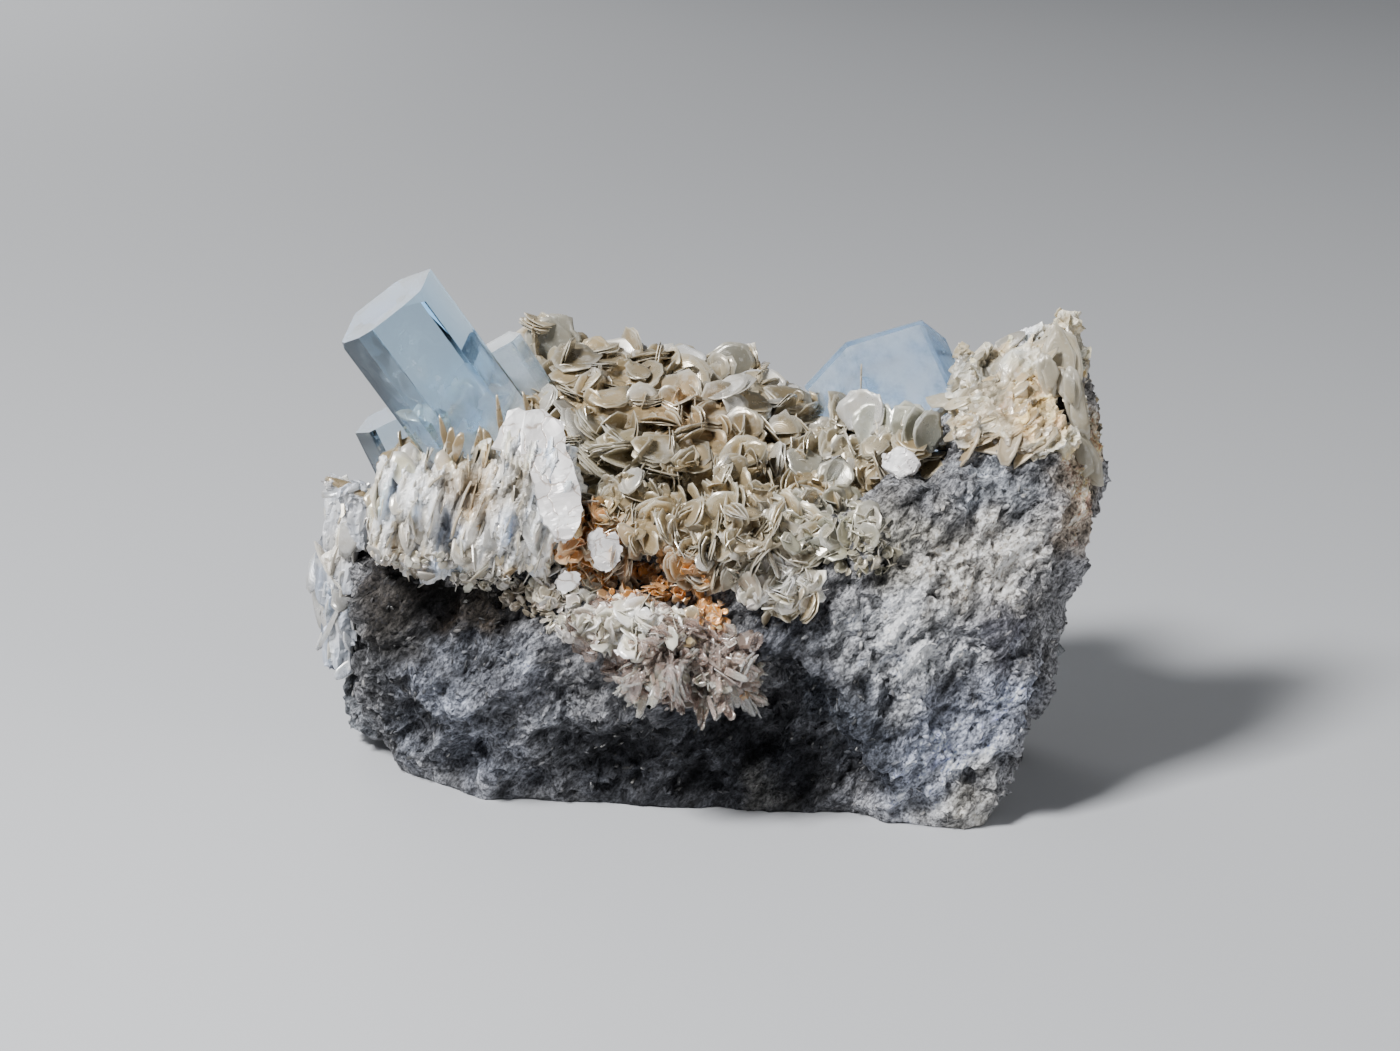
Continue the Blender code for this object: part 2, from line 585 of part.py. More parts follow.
def main():
    clear_scene()
    finishes = {
        "rock": material("rock", (0.42, 0.42, 0.43), 0.85),
        "beryl": material("beryl", (0.62, 0.77, 0.86), 0.04, transmission=1.0),
        "quartz": material("quartz", (0.88, 0.89, 0.9), 0.08, transmission=0.6),
        "mica": material("mica", (0.60, 0.55, 0.45), 0.35),
        "silver_mica": material("silver_mica", (0.76, 0.75, 0.72), 0.3),
        "albite": material("albite", (0.72, 0.62, 0.56), 0.4),
    }
    rock = make_rock()
    rock.data.materials.clear()
    rock.data.materials.append(finishes["rock"])
    spare = GAP / MM
    cutters = [prism(name + "_cutter", None, *beryl, spare=spare) for name, beryl in BERYLS.items()]
    cutters += [quartz(name + "_cutter", None, *point, spare=spare) for name, point in QUARTZES.items()]
    solid_rock = grown(rock, GAP)
    flake = placed("white_flake", listed_plates([WHITE_FLAKE], FLAKE_SEED), finishes["silver_mica"])
    flake_room = grown(flake, GAP)
    rooms = {
        "books": hull("books_room", BOOKS_ROOM), "albite": hull("albite_room", ALBITE_ROOM),
        "ridge": hull("ridge_room", RIDGE_ROOM), "blades": hull("blades_room", BLADES_ROOM),
    }
    walls = [grown(room, GAP) for room in rooms.values()]
    clear = [solid_rock, *cutters, flake_room]
    mica, silver, albite = finishes["mica"], finishes["silver_mica"], finishes["albite"]
    cluster(
        "mica_rosette_crust", mica, CRUST_BED, CRUST_BED_TRIANGLES, crust_plates(),
        clear_of=[*walls, *clear],
    )
    cluster(
        "left_mica_books", silver, BOOKS_BED, BOOKS_BED_TRIANGLES, book_plates(), rooms["books"], clear
    )
    cluster(
        "ridge_mica", mica, RIDGE_BED, RIDGE_BED_TRIANGLES, listed_plates(RIDGE_BOOKS, RIDGE_SEED),
        rooms["ridge"], clear,
    )
    cluster(
        "left_edge_blades", silver, BLADES_BED, BLADES_BED_TRIANGLES,
        listed_plates(EDGE_BLADES, BLADES_SEED), rooms["blades"], clear,
    )
    cluster(
        "albite_blades", albite, ALBITE_BED, ALBITE_BED_TRIANGLES, albite_plates(), rooms["albite"], clear
    )
    for cutter in [*cutters, flake_room]:
        boolean(rock, cutter, "DIFFERENCE")
    largest_body(rock)
    for name, beryl in BERYLS.items():
        prism(name, finishes["beryl"], *beryl)
    chipped(bpy.data.objects["main_aquamarine"], *BERYLS["main_aquamarine"])
    for name, point in QUARTZES.items():
        quartz(name, finishes["quartz"], *point)
    removed(*cutters, solid_rock, flake_room, *walls, *rooms.values())


main()
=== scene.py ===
# %% [markdown]
# # Dressing an aquamarine specimen
#
# The frame holds the specimen's plain solids: a rock, four beryl prisms, two small quartz crystals, a
# white flake of mica and five clusters of mica or albite plates. Each step below takes one of them and
# gives it the surface of the real mineral. Everything is in metres, +Z is up, and the front looks towards
# -Y.

import itertools
import math
import random

import bmesh
import bpy
import numpy as np
from mathutils import Matrix, Vector
from mathutils.bvhtree import BVHTree


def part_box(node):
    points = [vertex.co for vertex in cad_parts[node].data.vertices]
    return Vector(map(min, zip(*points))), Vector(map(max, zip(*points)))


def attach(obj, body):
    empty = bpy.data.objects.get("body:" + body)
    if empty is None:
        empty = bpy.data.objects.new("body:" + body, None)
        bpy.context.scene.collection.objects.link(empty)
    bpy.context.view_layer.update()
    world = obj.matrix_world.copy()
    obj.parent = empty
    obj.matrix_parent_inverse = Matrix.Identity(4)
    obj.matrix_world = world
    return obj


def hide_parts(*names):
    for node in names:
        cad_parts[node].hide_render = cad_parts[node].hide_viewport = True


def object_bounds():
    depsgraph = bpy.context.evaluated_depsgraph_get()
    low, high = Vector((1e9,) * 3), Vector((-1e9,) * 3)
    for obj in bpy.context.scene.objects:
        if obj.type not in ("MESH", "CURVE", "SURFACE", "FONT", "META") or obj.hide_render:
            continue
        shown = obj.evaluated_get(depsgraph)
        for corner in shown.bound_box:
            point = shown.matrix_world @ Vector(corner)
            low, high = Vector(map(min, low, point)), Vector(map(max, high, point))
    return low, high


MM = 0.001
GOLDEN = 2.4  # the golden angle in radians, which spreads petals evenly

# %% Frame
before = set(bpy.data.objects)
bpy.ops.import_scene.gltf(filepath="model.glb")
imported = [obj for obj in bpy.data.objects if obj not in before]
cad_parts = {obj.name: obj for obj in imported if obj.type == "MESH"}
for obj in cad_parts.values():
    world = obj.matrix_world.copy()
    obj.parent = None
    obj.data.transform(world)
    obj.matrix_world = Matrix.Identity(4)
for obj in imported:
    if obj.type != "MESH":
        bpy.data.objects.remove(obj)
cad_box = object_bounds()
print("solids:", ", ".join(sorted(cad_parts)))

# %% [markdown]
# ## Camera and studio
#
# A specimen is shown from a little above, through a long lens, so that it isn't distorted. A 90 mm lens
# half a metre away does that. The floor is one large pale sheet. A sky alone could light it, but its
# light comes from everywhere and would flatten the plates, so the sky is dim and three soft lamps do the
# work: the key up on the left, a weaker fill on the right, and one behind, which the crystals' flat ends
# mirror.

# %% Camera
VIEW_TARGET = Vector((-1.5, 0.0, 39.6)) * MM  # near the middle of the specimen
VIEW_DISTANCE = 525 * MM
VIEW_ELEVATION = math.radians(17)


def looking(item, target):
    """Turns a camera or a lamp towards a place."""
    item.rotation_euler = (target - item.location).to_track_quat("-Z", "Y").to_euler()


camera = bpy.data.objects.new("camera", bpy.data.cameras.new("camera"))
camera.data.lens = 90
camera.data.sensor_width = 36
camera.data.clip_start = 0.02
back = Vector((0, -math.cos(VIEW_ELEVATION), math.sin(VIEW_ELEVATION)))
camera.location = VIEW_TARGET + back * VIEW_DISTANCE
looking(camera, VIEW_TARGET)
bpy.context.scene.collection.objects.link(camera)
bpy.context.scene.camera = camera
print("camera at", [round(x, 3) for x in camera.location])

# %% Lamps
LAMPS = {
    # name: place in metres, watts, side of the square in metres
    "key": ((-0.34, -0.34, 0.60), 12.0, 0.17),
    "fill": ((0.55, -0.40, 0.28), 1.4, 0.45),
    "rim": ((-0.40, 0.80, 0.34), 2.6, 0.55),
}
LAMP_TARGET = Vector((0, 0, 0.04))
SKY_COLOUR = (0.80, 0.84, 0.90, 1)
SKY_STRENGTH = 0.10
for name, (place, watts, side) in LAMPS.items():
    lamp = bpy.data.objects.new(name, bpy.data.lights.new(name, "AREA"))
    lamp.data.energy = watts
    lamp.data.size = side
    lamp.location = place
    lamp.visible_camera = False
    looking(lamp, LAMP_TARGET)
    bpy.context.scene.collection.objects.link(lamp)

world = bpy.data.worlds.new("studio")
world.use_nodes = True
sky = world.node_tree.nodes["Background"]
sky.inputs["Color"].default_value = SKY_COLOUR
sky.inputs["Strength"].default_value = SKY_STRENGTH
bpy.context.scene.world = world
print("lamps:", ", ".join(LAMPS))

# %% [markdown]
# ## Noise in numbers
#
# Rock and mica are rough in the same way at many sizes, so every surface below is moved by noise. A
# Displace modifier could do it with one of Blender's textures. Here the same noise also steers the
# colours, and some of it is stretched along the mineral's grain, so it is written with numpy, which
# handles a hundred thousand points in one go. `lumps` is smooth, `ridges` has sharp crests, `chips` has
# flat broken facets, and `leaves` is made of thin slices.

# %% Noise
SCATTER = (73856093, 19349663, 83492791, 6542989)  # large odd numbers, which set neighbouring cells apart
MULTIPLIER, INCREMENT, NEXT = 1103515245, 12345, 7919  # how each number is mixed from the one before
LOW_31, LOW_16 = 0x7FFFFFFF, 0xFFFF  # the bits that are kept


def hashed(cells, seed):
    """Random numbers from 0 to 1 for whole-number cells, three for each."""
    mixed = cells[..., 0] * SCATTER[0] ^ cells[..., 1] * SCATTER[1] ^ cells[..., 2] * SCATTER[2]
    mixed = mixed ^ seed * SCATTER[3]
    rows = []
    for step in range(3):
        mixed = (mixed * MULTIPLIER + INCREMENT + step * NEXT) & LOW_31
        mixed = mixed ^ (mixed >> 13)
        rows.append((mixed & LOW_16) / LOW_16)
    return np.stack(rows, axis=-1)


def lumps(points, size, seed):
    """Smooth noise, about -1 to 1, with lumps of one size across or of one size for each direction."""
    scaled = points / size
    cell = np.floor(scaled).astype(np.int64)
    inside = scaled - cell
    fade = inside**3 * (inside * (inside * 6 - 15) + 10)
    total = np.zeros(len(points))
    for corner in itertools.product((0, 1), repeat=3):
        corner = np.array(corner)
        slope = hashed(cell + corner, seed) * 2 - 1
        share = np.where(corner, fade, 1 - fade).prod(axis=1)
        total += share * (slope * (inside - corner)).sum(axis=1)
    return total * 1.5


def ridges(points, size, seed):
    """Noise with sharp crests where the smooth noise crosses 0."""
    return 0.6 - 2.4 * np.abs(lumps(points, size, seed))


def chips(points, size, seed):
    """Broken facets: each cell of a random pattern is a small plane tilted its own way."""
    scaled = points / size
    cell = np.floor(scaled).astype(np.int64)
    nearest = np.full(len(points), 9.0)
    height = np.zeros(len(points))
    for step in itertools.product((-1, 0, 1), repeat=3):
        around = cell + np.array(step)
        offset = scaled - around - hashed(around, seed)
        distance = (offset**2).sum(axis=1)
        closer = distance < nearest
        tilt = hashed(around, seed + 1) * 2 - 1
        height = np.where(closer, (offset * tilt).sum(axis=1) + tilt[:, 0] * 0.4, height)
        nearest = np.where(closer, distance, nearest)
    return height


def leaves(points, size, seed):
    """Pressed leaves: each thin slice across the first direction has a surface of its own."""
    wander = 0.7 * lumps(points, size * np.array((4.0, 1.0, 1.0)), seed)
    slice_number = np.floor(points[:, 0] / size[0] + wander)
    own = np.stack([slice_number * 5.3 + 0.5, points[:, 1] / size[1], points[:, 2] / size[2]], axis=1)
    return lumps(own, 1.0, seed + 1)

# %% [markdown]
# ## Mesh and material helpers
#
# A piece is a mesh that rides on the specimen's only body. A mineral's colours change from place to
# place, and a painted picture could hold them. They are kept in a point attribute named `tint` instead,
# which needs no unwrapping and is worked out with the mesh. Where they change is a short list of patches,
# each a centre, a radius, a colour and a strength. The material reads the tint and adds what is too fine
# for a mesh.

# %% Points and colours


def points_of(mesh, key="co"):
    """A row of three numbers for each point of a mesh: where it is, or what the key names."""
    values = np.empty(len(mesh.vertices) * 3, np.float32)
    mesh.vertices.foreach_get(key, values)
    return values.reshape(-1, 3).astype(float)


def normals_of(mesh):
    """A row for each point of a mesh: which way its surface faces there."""
    return points_of(mesh, "normal")


def put_points(mesh, points):
    """Moves the points of a mesh to these places."""
    mesh.vertices.foreach_set("co", np.asarray(points, np.float32).ravel())
    mesh.update()


def paint(mesh, tints):
    """Stores a colour for each point."""
    layer = mesh.attributes.get("tint") or mesh.attributes.new("tint", "FLOAT_COLOR", "POINT")
    rgba = np.concatenate([np.clip(tints, 0, 1), np.ones((len(tints), 1))], axis=1)
    layer.data.foreach_set("color", rgba.astype(np.float32).ravel())


def zoned(points, base, share, patches, swing, seed):
    """Patches over a base colour. Their borders wander by the swing, in mm. The points are in metres."""
    total = np.full((len(points), 1), share)
    colour = np.array(base) * total
    wander = np.stack([lumps(points, 5 * MM, seed + i) for i in range(3)], axis=1) * swing * MM
    for centre, radius, patch, strength in patches:
        away = np.linalg.norm(points + wander - np.array(centre) * MM, axis=1) / (radius * MM)
        near = (strength * np.exp(-2 * away**2))[:, None]
        colour = colour + np.array(patch) * near
        total = total + near
    return colour / total

# %% Pieces


def piece(name, mesh, finishes, slot, *nodes):
    """A finished piece: it rides on the body and stands for these nodes."""
    item = bpy.data.objects.new(name, mesh)
    bpy.context.scene.collection.objects.link(item)
    mesh.materials.clear()
    for finish in finishes:
        mesh.materials.append(finish)
    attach(item, "root")
    if nodes:
        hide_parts(*nodes)
    mesh.calc_loop_triangles()
    print(f"{name}: {len(mesh.loop_triangles)} triangles")


def copied(node, *modifiers):
    """A copy of a solid's mesh after modifiers, each given as (kind, {setting: value})."""
    item = bpy.data.objects.new("work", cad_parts[node].data.copy())
    bpy.context.scene.collection.objects.link(item)
    for kind, settings in modifiers:
        modifier = item.modifiers.new(kind, kind)
        for name, value in settings.items():
            setattr(modifier, name, value)
    bpy.context.view_layer.update()
    graph = bpy.context.evaluated_depsgraph_get()
    mesh = bpy.data.meshes.new_from_object(item.evaluated_get(graph))
    bpy.data.objects.remove(item)
    return mesh


def even_copy(node_name, face, smooth):
    """The solid's copy with even faces of a side in mm, after some rounds of smoothing."""
    even = ("REMESH", {"mode": "VOXEL", "voxel_size": face * MM})
    return copied(node_name, even, ("SMOOTH", {"factor": 0.8, "iterations": smooth}))


def directions(across, tall):
    """Rows: across the plates, in them, and along their tall direction."""
    across, tall = Vector(across).normalized(), Vector(tall)
    tall = (tall - across * tall.dot(across)).normalized()
    return np.array((across, tall.cross(across), tall))

# %% Nodes


def shader(name):
    """A new material, its nodes, and the function that links two sockets."""
    material = bpy.data.materials.new(name)
    material.use_nodes = True
    return material, material.node_tree.nodes, material.node_tree.links.new


def set_inputs(item, values):
    """Gives a node's sockets plain values."""
    for key, value in values.items():
        item.inputs[key].default_value = value


def node(nodes, kind, inputs=None, **settings):
    """A new node with plain values in its sockets, and settings of its own."""
    made = nodes.new(kind)
    for key, value in settings.items():
        setattr(made, key, value)
    set_inputs(made, inputs or {})
    return made


def new_group(name, inputs, outputs):
    """A node group with float inputs (name: default) and float outputs."""
    group = bpy.data.node_groups.new(name, "ShaderNodeTree")
    for label, value in inputs.items():
        socket = group.interface.new_socket(label, in_out="INPUT", socket_type="NodeSocketFloat")
        socket.default_value = value
    for label in outputs:
        group.interface.new_socket(label, in_out="OUTPUT", socket_type="NodeSocketFloat")
    return group, group.nodes.new("NodeGroupInput"), group.nodes.new("NodeGroupOutput")


def placed_group(nodes, group, **values):
    """A node group placed in a material, with values of its own."""
    made = nodes.new("ShaderNodeGroup")
    made.node_tree = group
    set_inputs(made, values)
    return made

# %% Mixing and sums


def feed(link, value, socket):
    """Gives a socket what feeds it: another socket or a plain value."""
    if isinstance(value, bpy.types.NodeSocket):
        link(value, socket)
    else:
        socket.default_value = value


MIX_SHARE, MIX_FIRST, MIX_SECOND, MIXED = 0, 6, 7, 2  # a Mix node's colour sockets, which share their names


def blended(nodes, link, first, second, share, mode="MIX"):
    """Mixes two colours by a share. Each is a socket or a plain value."""
    mix = node(nodes, "ShaderNodeMix", data_type="RGBA", blend_type=mode)
    for value, index in ((first, MIX_FIRST), (second, MIX_SECOND), (share, MIX_SHARE)):
        feed(link, value, mix.inputs[index])
    return mix.outputs[MIXED]


def worked(nodes, link, operation, first, second=0.0):
    """A sum on one or two values, each a socket or a number."""
    made = node(nodes, "ShaderNodeMath", operation=operation)
    feed(link, first, made.inputs[0])
    feed(link, second, made.inputs[1])
    return made.outputs[0]


def ranged(nodes, link, value, low, high, start=0.0, end=1.0):
    """Stretches a value from start..end to low..high."""
    made = node(nodes, "ShaderNodeMapRange")
    set_inputs(made, {"From Min": start, "From Max": end, "To Min": low, "To Max": high})
    link(value, made.inputs["Value"])
    return made.outputs["Result"]

# %% Relief and stored values


def bumped(nodes, link, height, distance, strength, onto=None):
    """Relief from a height, over the relief of another bump where there is one."""
    bump = node(nodes, "ShaderNodeBump", {"Distance": distance, "Strength": strength})
    link(height, bump.inputs["Height"])
    if onto is not None:
        link(onto, bump.inputs["Normal"])
    return bump.outputs["Normal"]


def tint_of(nodes):
    """The colour that is stored with the mesh."""
    return node(nodes, "ShaderNodeAttribute", attribute_name="tint").outputs["Color"]


def stored(nodes, name):
    """A number that is stored with the mesh."""
    return node(nodes, "ShaderNodeAttribute", attribute_name=name).outputs["Fac"]


def object_place(nodes):
    """The place on the piece that textures are looked up at."""
    return node(nodes, "ShaderNodeTexCoord").outputs["Object"]

# %% Studio floor
FLOOR_HALF = 3.0  # metres from its middle to a side
FLOOR_GREY = (0.50, 0.51, 0.53, 1)


def make_floor():
    """One flat square under the specimen, which belongs to the studio and not to the part."""
    mesh = bpy.data.meshes.new("floor")
    corners = [(x * FLOOR_HALF, y * FLOOR_HALF, 0) for x, y in ((-1, -1), (1, -1), (1, 1), (-1, 1))]
    mesh.from_pydata(corners, [], [(0, 1, 2, 3)])
    material, nodes, _ = shader("studio_floor")
    set_inputs(nodes["Principled BSDF"], {"Base Color": FLOOR_GREY, "Roughness": 0.7})
    mesh.materials.append(material)
    floor = bpy.data.objects.new("floor", mesh)
    bpy.context.scene.collection.objects.link(floor)


make_floor()
print("floor:", FLOOR_HALF * 2, "m wide")

# %% [markdown]
# ## Shared effects
#
# Two effects return in several materials. Their nodes could be built again in each of them, but as a node
# group each is built once and placed with its own values. `cloud` is a soft patchy mask, for frost,
# flecks and milk. `fibres` is noise stretched along one direction, for the fine lines of mica and beryl and
# the rock's needles, and each mineral's own directions make one such group.

# %% Groups


def cloud_group():
    """A soft mask from a noise texture between two limits."""
    inputs = {"Scale": 120.0, "Low": 0.4, "High": 0.6, "Roughness": 0.6}
    group, entry, out = new_group("cloud", inputs, ("Mask",))
    nodes, link = group.nodes, group.links.new
    texture = node(nodes, "ShaderNodeTexNoise", {"Detail": 6.0})
    spread = node(nodes, "ShaderNodeMapRange", interpolation_type="SMOOTHSTEP")
    link(object_place(nodes), texture.inputs["Vector"])
    link(entry.outputs["Scale"], texture.inputs["Scale"])
    link(entry.outputs["Roughness"], texture.inputs["Roughness"])
    link(texture.outputs["Fac"], spread.inputs["Value"])
    link(entry.outputs["Low"], spread.inputs["From Min"])
    link(entry.outputs["High"], spread.inputs["From Max"])
    link(spread.outputs["Result"], out.inputs["Mask"])
    return group


def fibres_group(name, axes, stretch):
    """Noise squeezed across the rows of `axes`, by the three stretches."""
    group, entry, out = new_group(name, {"Scale": 600.0}, ("Lines",))
    nodes, link = group.nodes, group.links.new
    turned = node(nodes, "ShaderNodeMapping", {"Rotation": Matrix(axes.tolist()).to_euler()})
    squeezed = node(nodes, "ShaderNodeMapping", {"Scale": stretch})
    lines = node(nodes, "ShaderNodeTexNoise", {"Detail": 5.0, "Roughness": 0.65})
    link(object_place(nodes), turned.inputs["Vector"])
    link(turned.outputs["Vector"], squeezed.inputs["Vector"])
    link(squeezed.outputs["Vector"], lines.inputs["Vector"])
    link(entry.outputs["Scale"], lines.inputs["Scale"])
    link(lines.outputs["Fac"], out.inputs["Lines"])
    return group


CLOUD = cloud_group()


def cloud_mask(nodes, scale, low, high, roughness=0.6):
    """The cloud group, placed in a material."""
    placed = placed_group(nodes, CLOUD, Scale=scale, Low=low, High=high, Roughness=roughness)
    return placed.outputs["Mask"]


def line_mask(nodes, group, scale):
    """One of the fibres groups, placed in a material."""
    return placed_group(nodes, group, Scale=scale).outputs["Lines"]


print("shared effect:", CLOUD.name)

# %% [markdown]
# ## Plates
#
# Muscovite grows in thin plates with a rounded, six-sided outline, and albite in longer ones with corners.
# Copies of one plate could be strewn over the rock, but every real plate is broken in its own way. So each
# is drawn anew: a disc of a few rings on each side and a rim between them, cupped, uneven and with straight
# breaks. All of a cluster's plates are worked out together as arrays and become one mesh. Two attributes
# steer their material: `ring` is the distance from the middle in mm, for the growth lines, and `rim` is the
# share of the way to the rim, where the material paints a highlight.

# %% Plate maker
OVERHANG = 0.8  # how far in mm a plate may reach past the solids' box
POWERS = {"lath": 7, "spear": 1.3}  # how square the outline is: a lath has corners, a spear is pointed


def plate_layout(sides, rings):
    """One side's points (shares of the radius, angles), all faces, and how many lie on the two sides."""
    share = np.concatenate([[0.0], np.repeat(rings, sides)])
    angle = np.concatenate([[0.0], np.tile(np.arange(sides) * math.tau / sides, len(rings))])
    half = len(share)
    edge = 1 + (len(rings) - 1) * sides
    fans, rim = [], []
    for i in range(sides):
        after = (i + 1) % sides
        fans.append((0, 1 + i, 1 + after))
        for ring in range(len(rings) - 1):
            near, far = 1 + ring * sides, 1 + (ring + 1) * sides
            fans += [(near + i, far + i, far + after), (near + i, far + after, near + after)]
        this, that = edge + i, edge + after
        rim += [(this, half + this, half + that), (this, half + that, that)]
    under = [(half + a, half + c, half + b) for a, b, c in fans]
    return share, angle, np.array(fans + under + rim), len(fans) * 2


class Plates:
    """Collects plates, then makes one mesh of them. The cuts are straight breaks along the outline."""

    def __init__(self, seed, sides, rings=(0.6, 1.0), form="petal", cuts=1):
        self.rows = []
        self.chance = random.Random(seed)
        self.seed, self.sides, self.rings, self.form, self.cuts = seed, sides, rings, form, cuts

    def add(self, centre, facing, rise, width, height, thick, bend, tint, edge=None):
        """Sizes in mm. The bend is the cup's depth as a share of the width, towards the facing side."""
        facing, rise = Vector(facing).normalized(), Vector(rise)
        rise = (rise - facing * rise.dot(facing)).normalized()
        edge = tint if edge is None else edge
        self.rows.append((*centre, *facing, *rise, width, height, thick, bend, *tint, *edge))

    def mesh(self, name, rows=None):
        """One mesh of all the plates, or of some of their rows."""
        rows = np.array(self.rows if rows is None else rows, float)
        share, angle, faces, smooth_faces = plate_layout(self.sides, self.rings)
        count = len(rows)
        chance = np.random.default_rng(self.seed)
        centre, facing, rise = rows[:, None, 0:3], rows[:, None, 3:6], rows[:, None, 6:9]
        across = np.cross(rise, facing)
        width, height, thick, bend = (rows[:, i, None] for i in range(9, 13))

        def wave(turns, size):
            """A swing of the outline, with its own phase and size on every plate."""
            phase = chance.uniform(0, math.tau, (count, 1))
            return size * chance.uniform(0.3, 1, (count, 1)) * np.cos(turns * angle + phase)

        if self.form in POWERS:
            power = POWERS[self.form]
            squared = np.abs(np.cos(angle)) ** power + np.abs(np.sin(angle)) ** power
            outline = squared ** (-1 / power) + wave(3, 0.05)
        else:
            turn = (angle + chance.uniform(0, math.tau, (count, 1))) % (math.tau / 6) - math.pi / 6
            six_sided = 0.25 + 0.75 * math.cos(math.pi / 6) / np.cos(turn)
            outline = six_sided + wave(2, 0.09) + wave(3, 0.07) + wave(5, 0.04)
        jitter = np.tile(chance.normal(0, 0.035, (count, self.sides)), len(self.rings))
        outline = outline + np.concatenate([np.zeros((count, 1)), jitter], axis=1)
        for _ in range(self.cuts):
            lean = np.cos(angle - chance.uniform(0, math.tau, (count, 1)))
            broken = chance.uniform(0.5, 1.1, (count, 1)) / np.maximum(lean, 0.05)
            outline = np.minimum(outline, broken)
        radius = share * outline / 2
        x, y = radius * np.cos(angle), radius * np.sin(angle)
        cup = bend * width * 4 * (x**2 + 0.45 * y**2) + wave(2, 0.045) * width * share**2
        taper = thick / 2 * (1 - 0.35 * share**2)
        flat = centre + across * (x * width)[..., None] + rise * (y * height)[..., None]
        layers = [flat + facing * (cup + side * taper)[..., None] for side in (1, -1)]

        tint, edge = rows[:, None, 13:16], rows[:, None, 16:19]
        # painted shade: each plate is darker towards its lower end, where it stands among the others
        root = np.clip(0.85 + 0.7 * (y + 0.25), 0.6, 1)[..., None]
        # the rim takes the paler edge colour: partly the plates' own pale edges and partly a painted
        # highlight
        colour = (tint + (edge - tint) * (share**4)[None, :, None]) * root

        steps = np.arange(count)[:, None, None] * (2 * len(share))
        all_faces = (faces[None] + steps).reshape(-1, 3)
        mesh = bpy.data.meshes.new(name)
        mesh.vertices.add(count * 2 * len(share))
        mesh.loops.add(all_faces.size)
        mesh.polygons.add(len(all_faces))
        mesh.loops.foreach_set("vertex_index", all_faces.ravel().astype(np.int32))
        mesh.polygons.foreach_set("loop_start", np.arange(0, all_faces.size, 3, dtype=np.int32))
        mesh.polygons.foreach_set("use_smooth", np.tile(np.arange(len(faces)) < smooth_faces, count))
        inside = np.array(cad_box) + np.array([[-OVERHANG], [OVERHANG]]) * MM
        put_points(mesh, np.clip(np.concatenate(layers, axis=1).reshape(-1, 3) * MM, *inside))
        paint(mesh, np.concatenate([colour, colour], axis=1).reshape(-1, 3))
        ring = mesh.attributes.new("ring", "FLOAT", "POINT")
        ring.data.foreach_set("value", np.tile(radius * width, (1, 2)).ravel().astype(np.float32))
        rim = mesh.attributes.new("rim", "FLOAT", "POINT")
        rim.data.foreach_set("value", np.tile(share, 2 * count).astype(np.float32))
        return mesh


def plates_piece(name, plates, finish, slot, *nodes):
    """The piece that a collection of plates makes."""
    piece(name, plates.mesh(name), [finish], slot, *nodes)

# %% [markdown]
# Mica is clear in a thin leaf and pearly in a thick one, and its rims gather the light. Light that travels
# through every leaf would be true to that, but it is slow with thousands of plates. So the finish lets a
# share of the light through and adds the rest to the surface: a metallic share for the pearl, a coat for the
# gloss, a painted highlight on the rim, frosted patches, and bump for the growth lines. With other values it
# is albite, or the dull flakes of the rock.

# %% Mica finish
GROWTH_LINES = 19.0  # radians of their wave in each mm from the middle
GROWTH_WANDER = 14.0  # radians that a noise moves them by


def mica_finish(name, see_through, line_depth, lustre, frost=0.0, rim_highlight=0.5, pearl=0.25, sheen=0.25):
    """Glossy plates with growth lines, a cloudy tint, frosted patches and a painted highlight on the rim."""
    material, nodes, link = shader(name)
    surface = nodes["Principled BSDF"]
    cloud = cloud_mask(nodes, 300.0, 0.35, 0.7)
    fleck = cloud_mask(nodes, 1100.0, 0.56, 0.66)
    shaded = blended(nodes, link, tint_of(nodes), (0.80, 0.76, 0.68, 1), cloud, "MULTIPLY")
    speck = worked(nodes, link, "MULTIPLY", fleck, 0.3)
    colour = blended(nodes, link, shaded, (0.95, 0.93, 0.88, 1), speck, "SCREEN")
    frosted = worked(nodes, link, "MULTIPLY", cloud_mask(nodes, 190.0, 0.55, 0.66), frost)
    colour = blended(nodes, link, colour, (0.90, 0.89, 0.85, 1), frosted)
    # painted highlight: near the rim the base colour is screened towards a pale cream
    painted_rim_highlight = ranged(nodes, link, stored(nodes, "rim"), 0.0, rim_highlight, 0.84, 0.97)
    colour = blended(nodes, link, colour, (0.80, 0.74, 0.60, 1), painted_rim_highlight, "SCREEN")
    link(colour, surface.inputs["Base Color"])
    link(ranged(nodes, link, cloud, sheen, sheen + 0.25), surface.inputs["Roughness"])
    set_inputs(surface, {"Metallic": pearl, "Transmission Weight": see_through, "IOR": 1.58})
    set_inputs(surface, {"Coat Weight": lustre, "Coat Roughness": 0.18})
    wobble = node(nodes, "ShaderNodeTexNoise", {"Scale": 300.0})
    link(object_place(nodes), wobble.inputs["Vector"])
    phase = worked(nodes, link, "MULTIPLY", stored(nodes, "ring"), GROWTH_LINES)
    swing = worked(nodes, link, "MULTIPLY", wobble.outputs["Fac"], GROWTH_WANDER)
    line = worked(nodes, link, "SINE", worked(nodes, link, "ADD", phase, swing))
    link(bumped(nodes, link, line, line_depth, 0.12), surface.inputs["Normal"])
    return material


MICA = mica_finish("muscovite", 0.40, 0.05 * MM, 0.15, frost=0.4, rim_highlight=0.55)
PEARL = mica_finish("pearly_mica", 0.3, 0.05 * MM, 0.3, frost=0.3, rim_highlight=0.3, pearl=0.3)
ALBITE = mica_finish("albite", 0.75, 0.03 * MM, 0.4, frost=0.2, rim_highlight=0.25, pearl=0.0, sheen=0.12)
WHITE_MICA = mica_finish("white_mica", 0.15, 0.05 * MM, 0.3, frost=0.6, rim_highlight=0.4, pearl=0.1)
DULL = mica_finish("schist_mica", 0.0, 0.03 * MM, 0.0, rim_highlight=0.0, pearl=0.0, sheen=0.6)
print("plate finishes:", ", ".join(finish.name for finish in (MICA, PEARL, ALBITE, WHITE_MICA, DULL)))

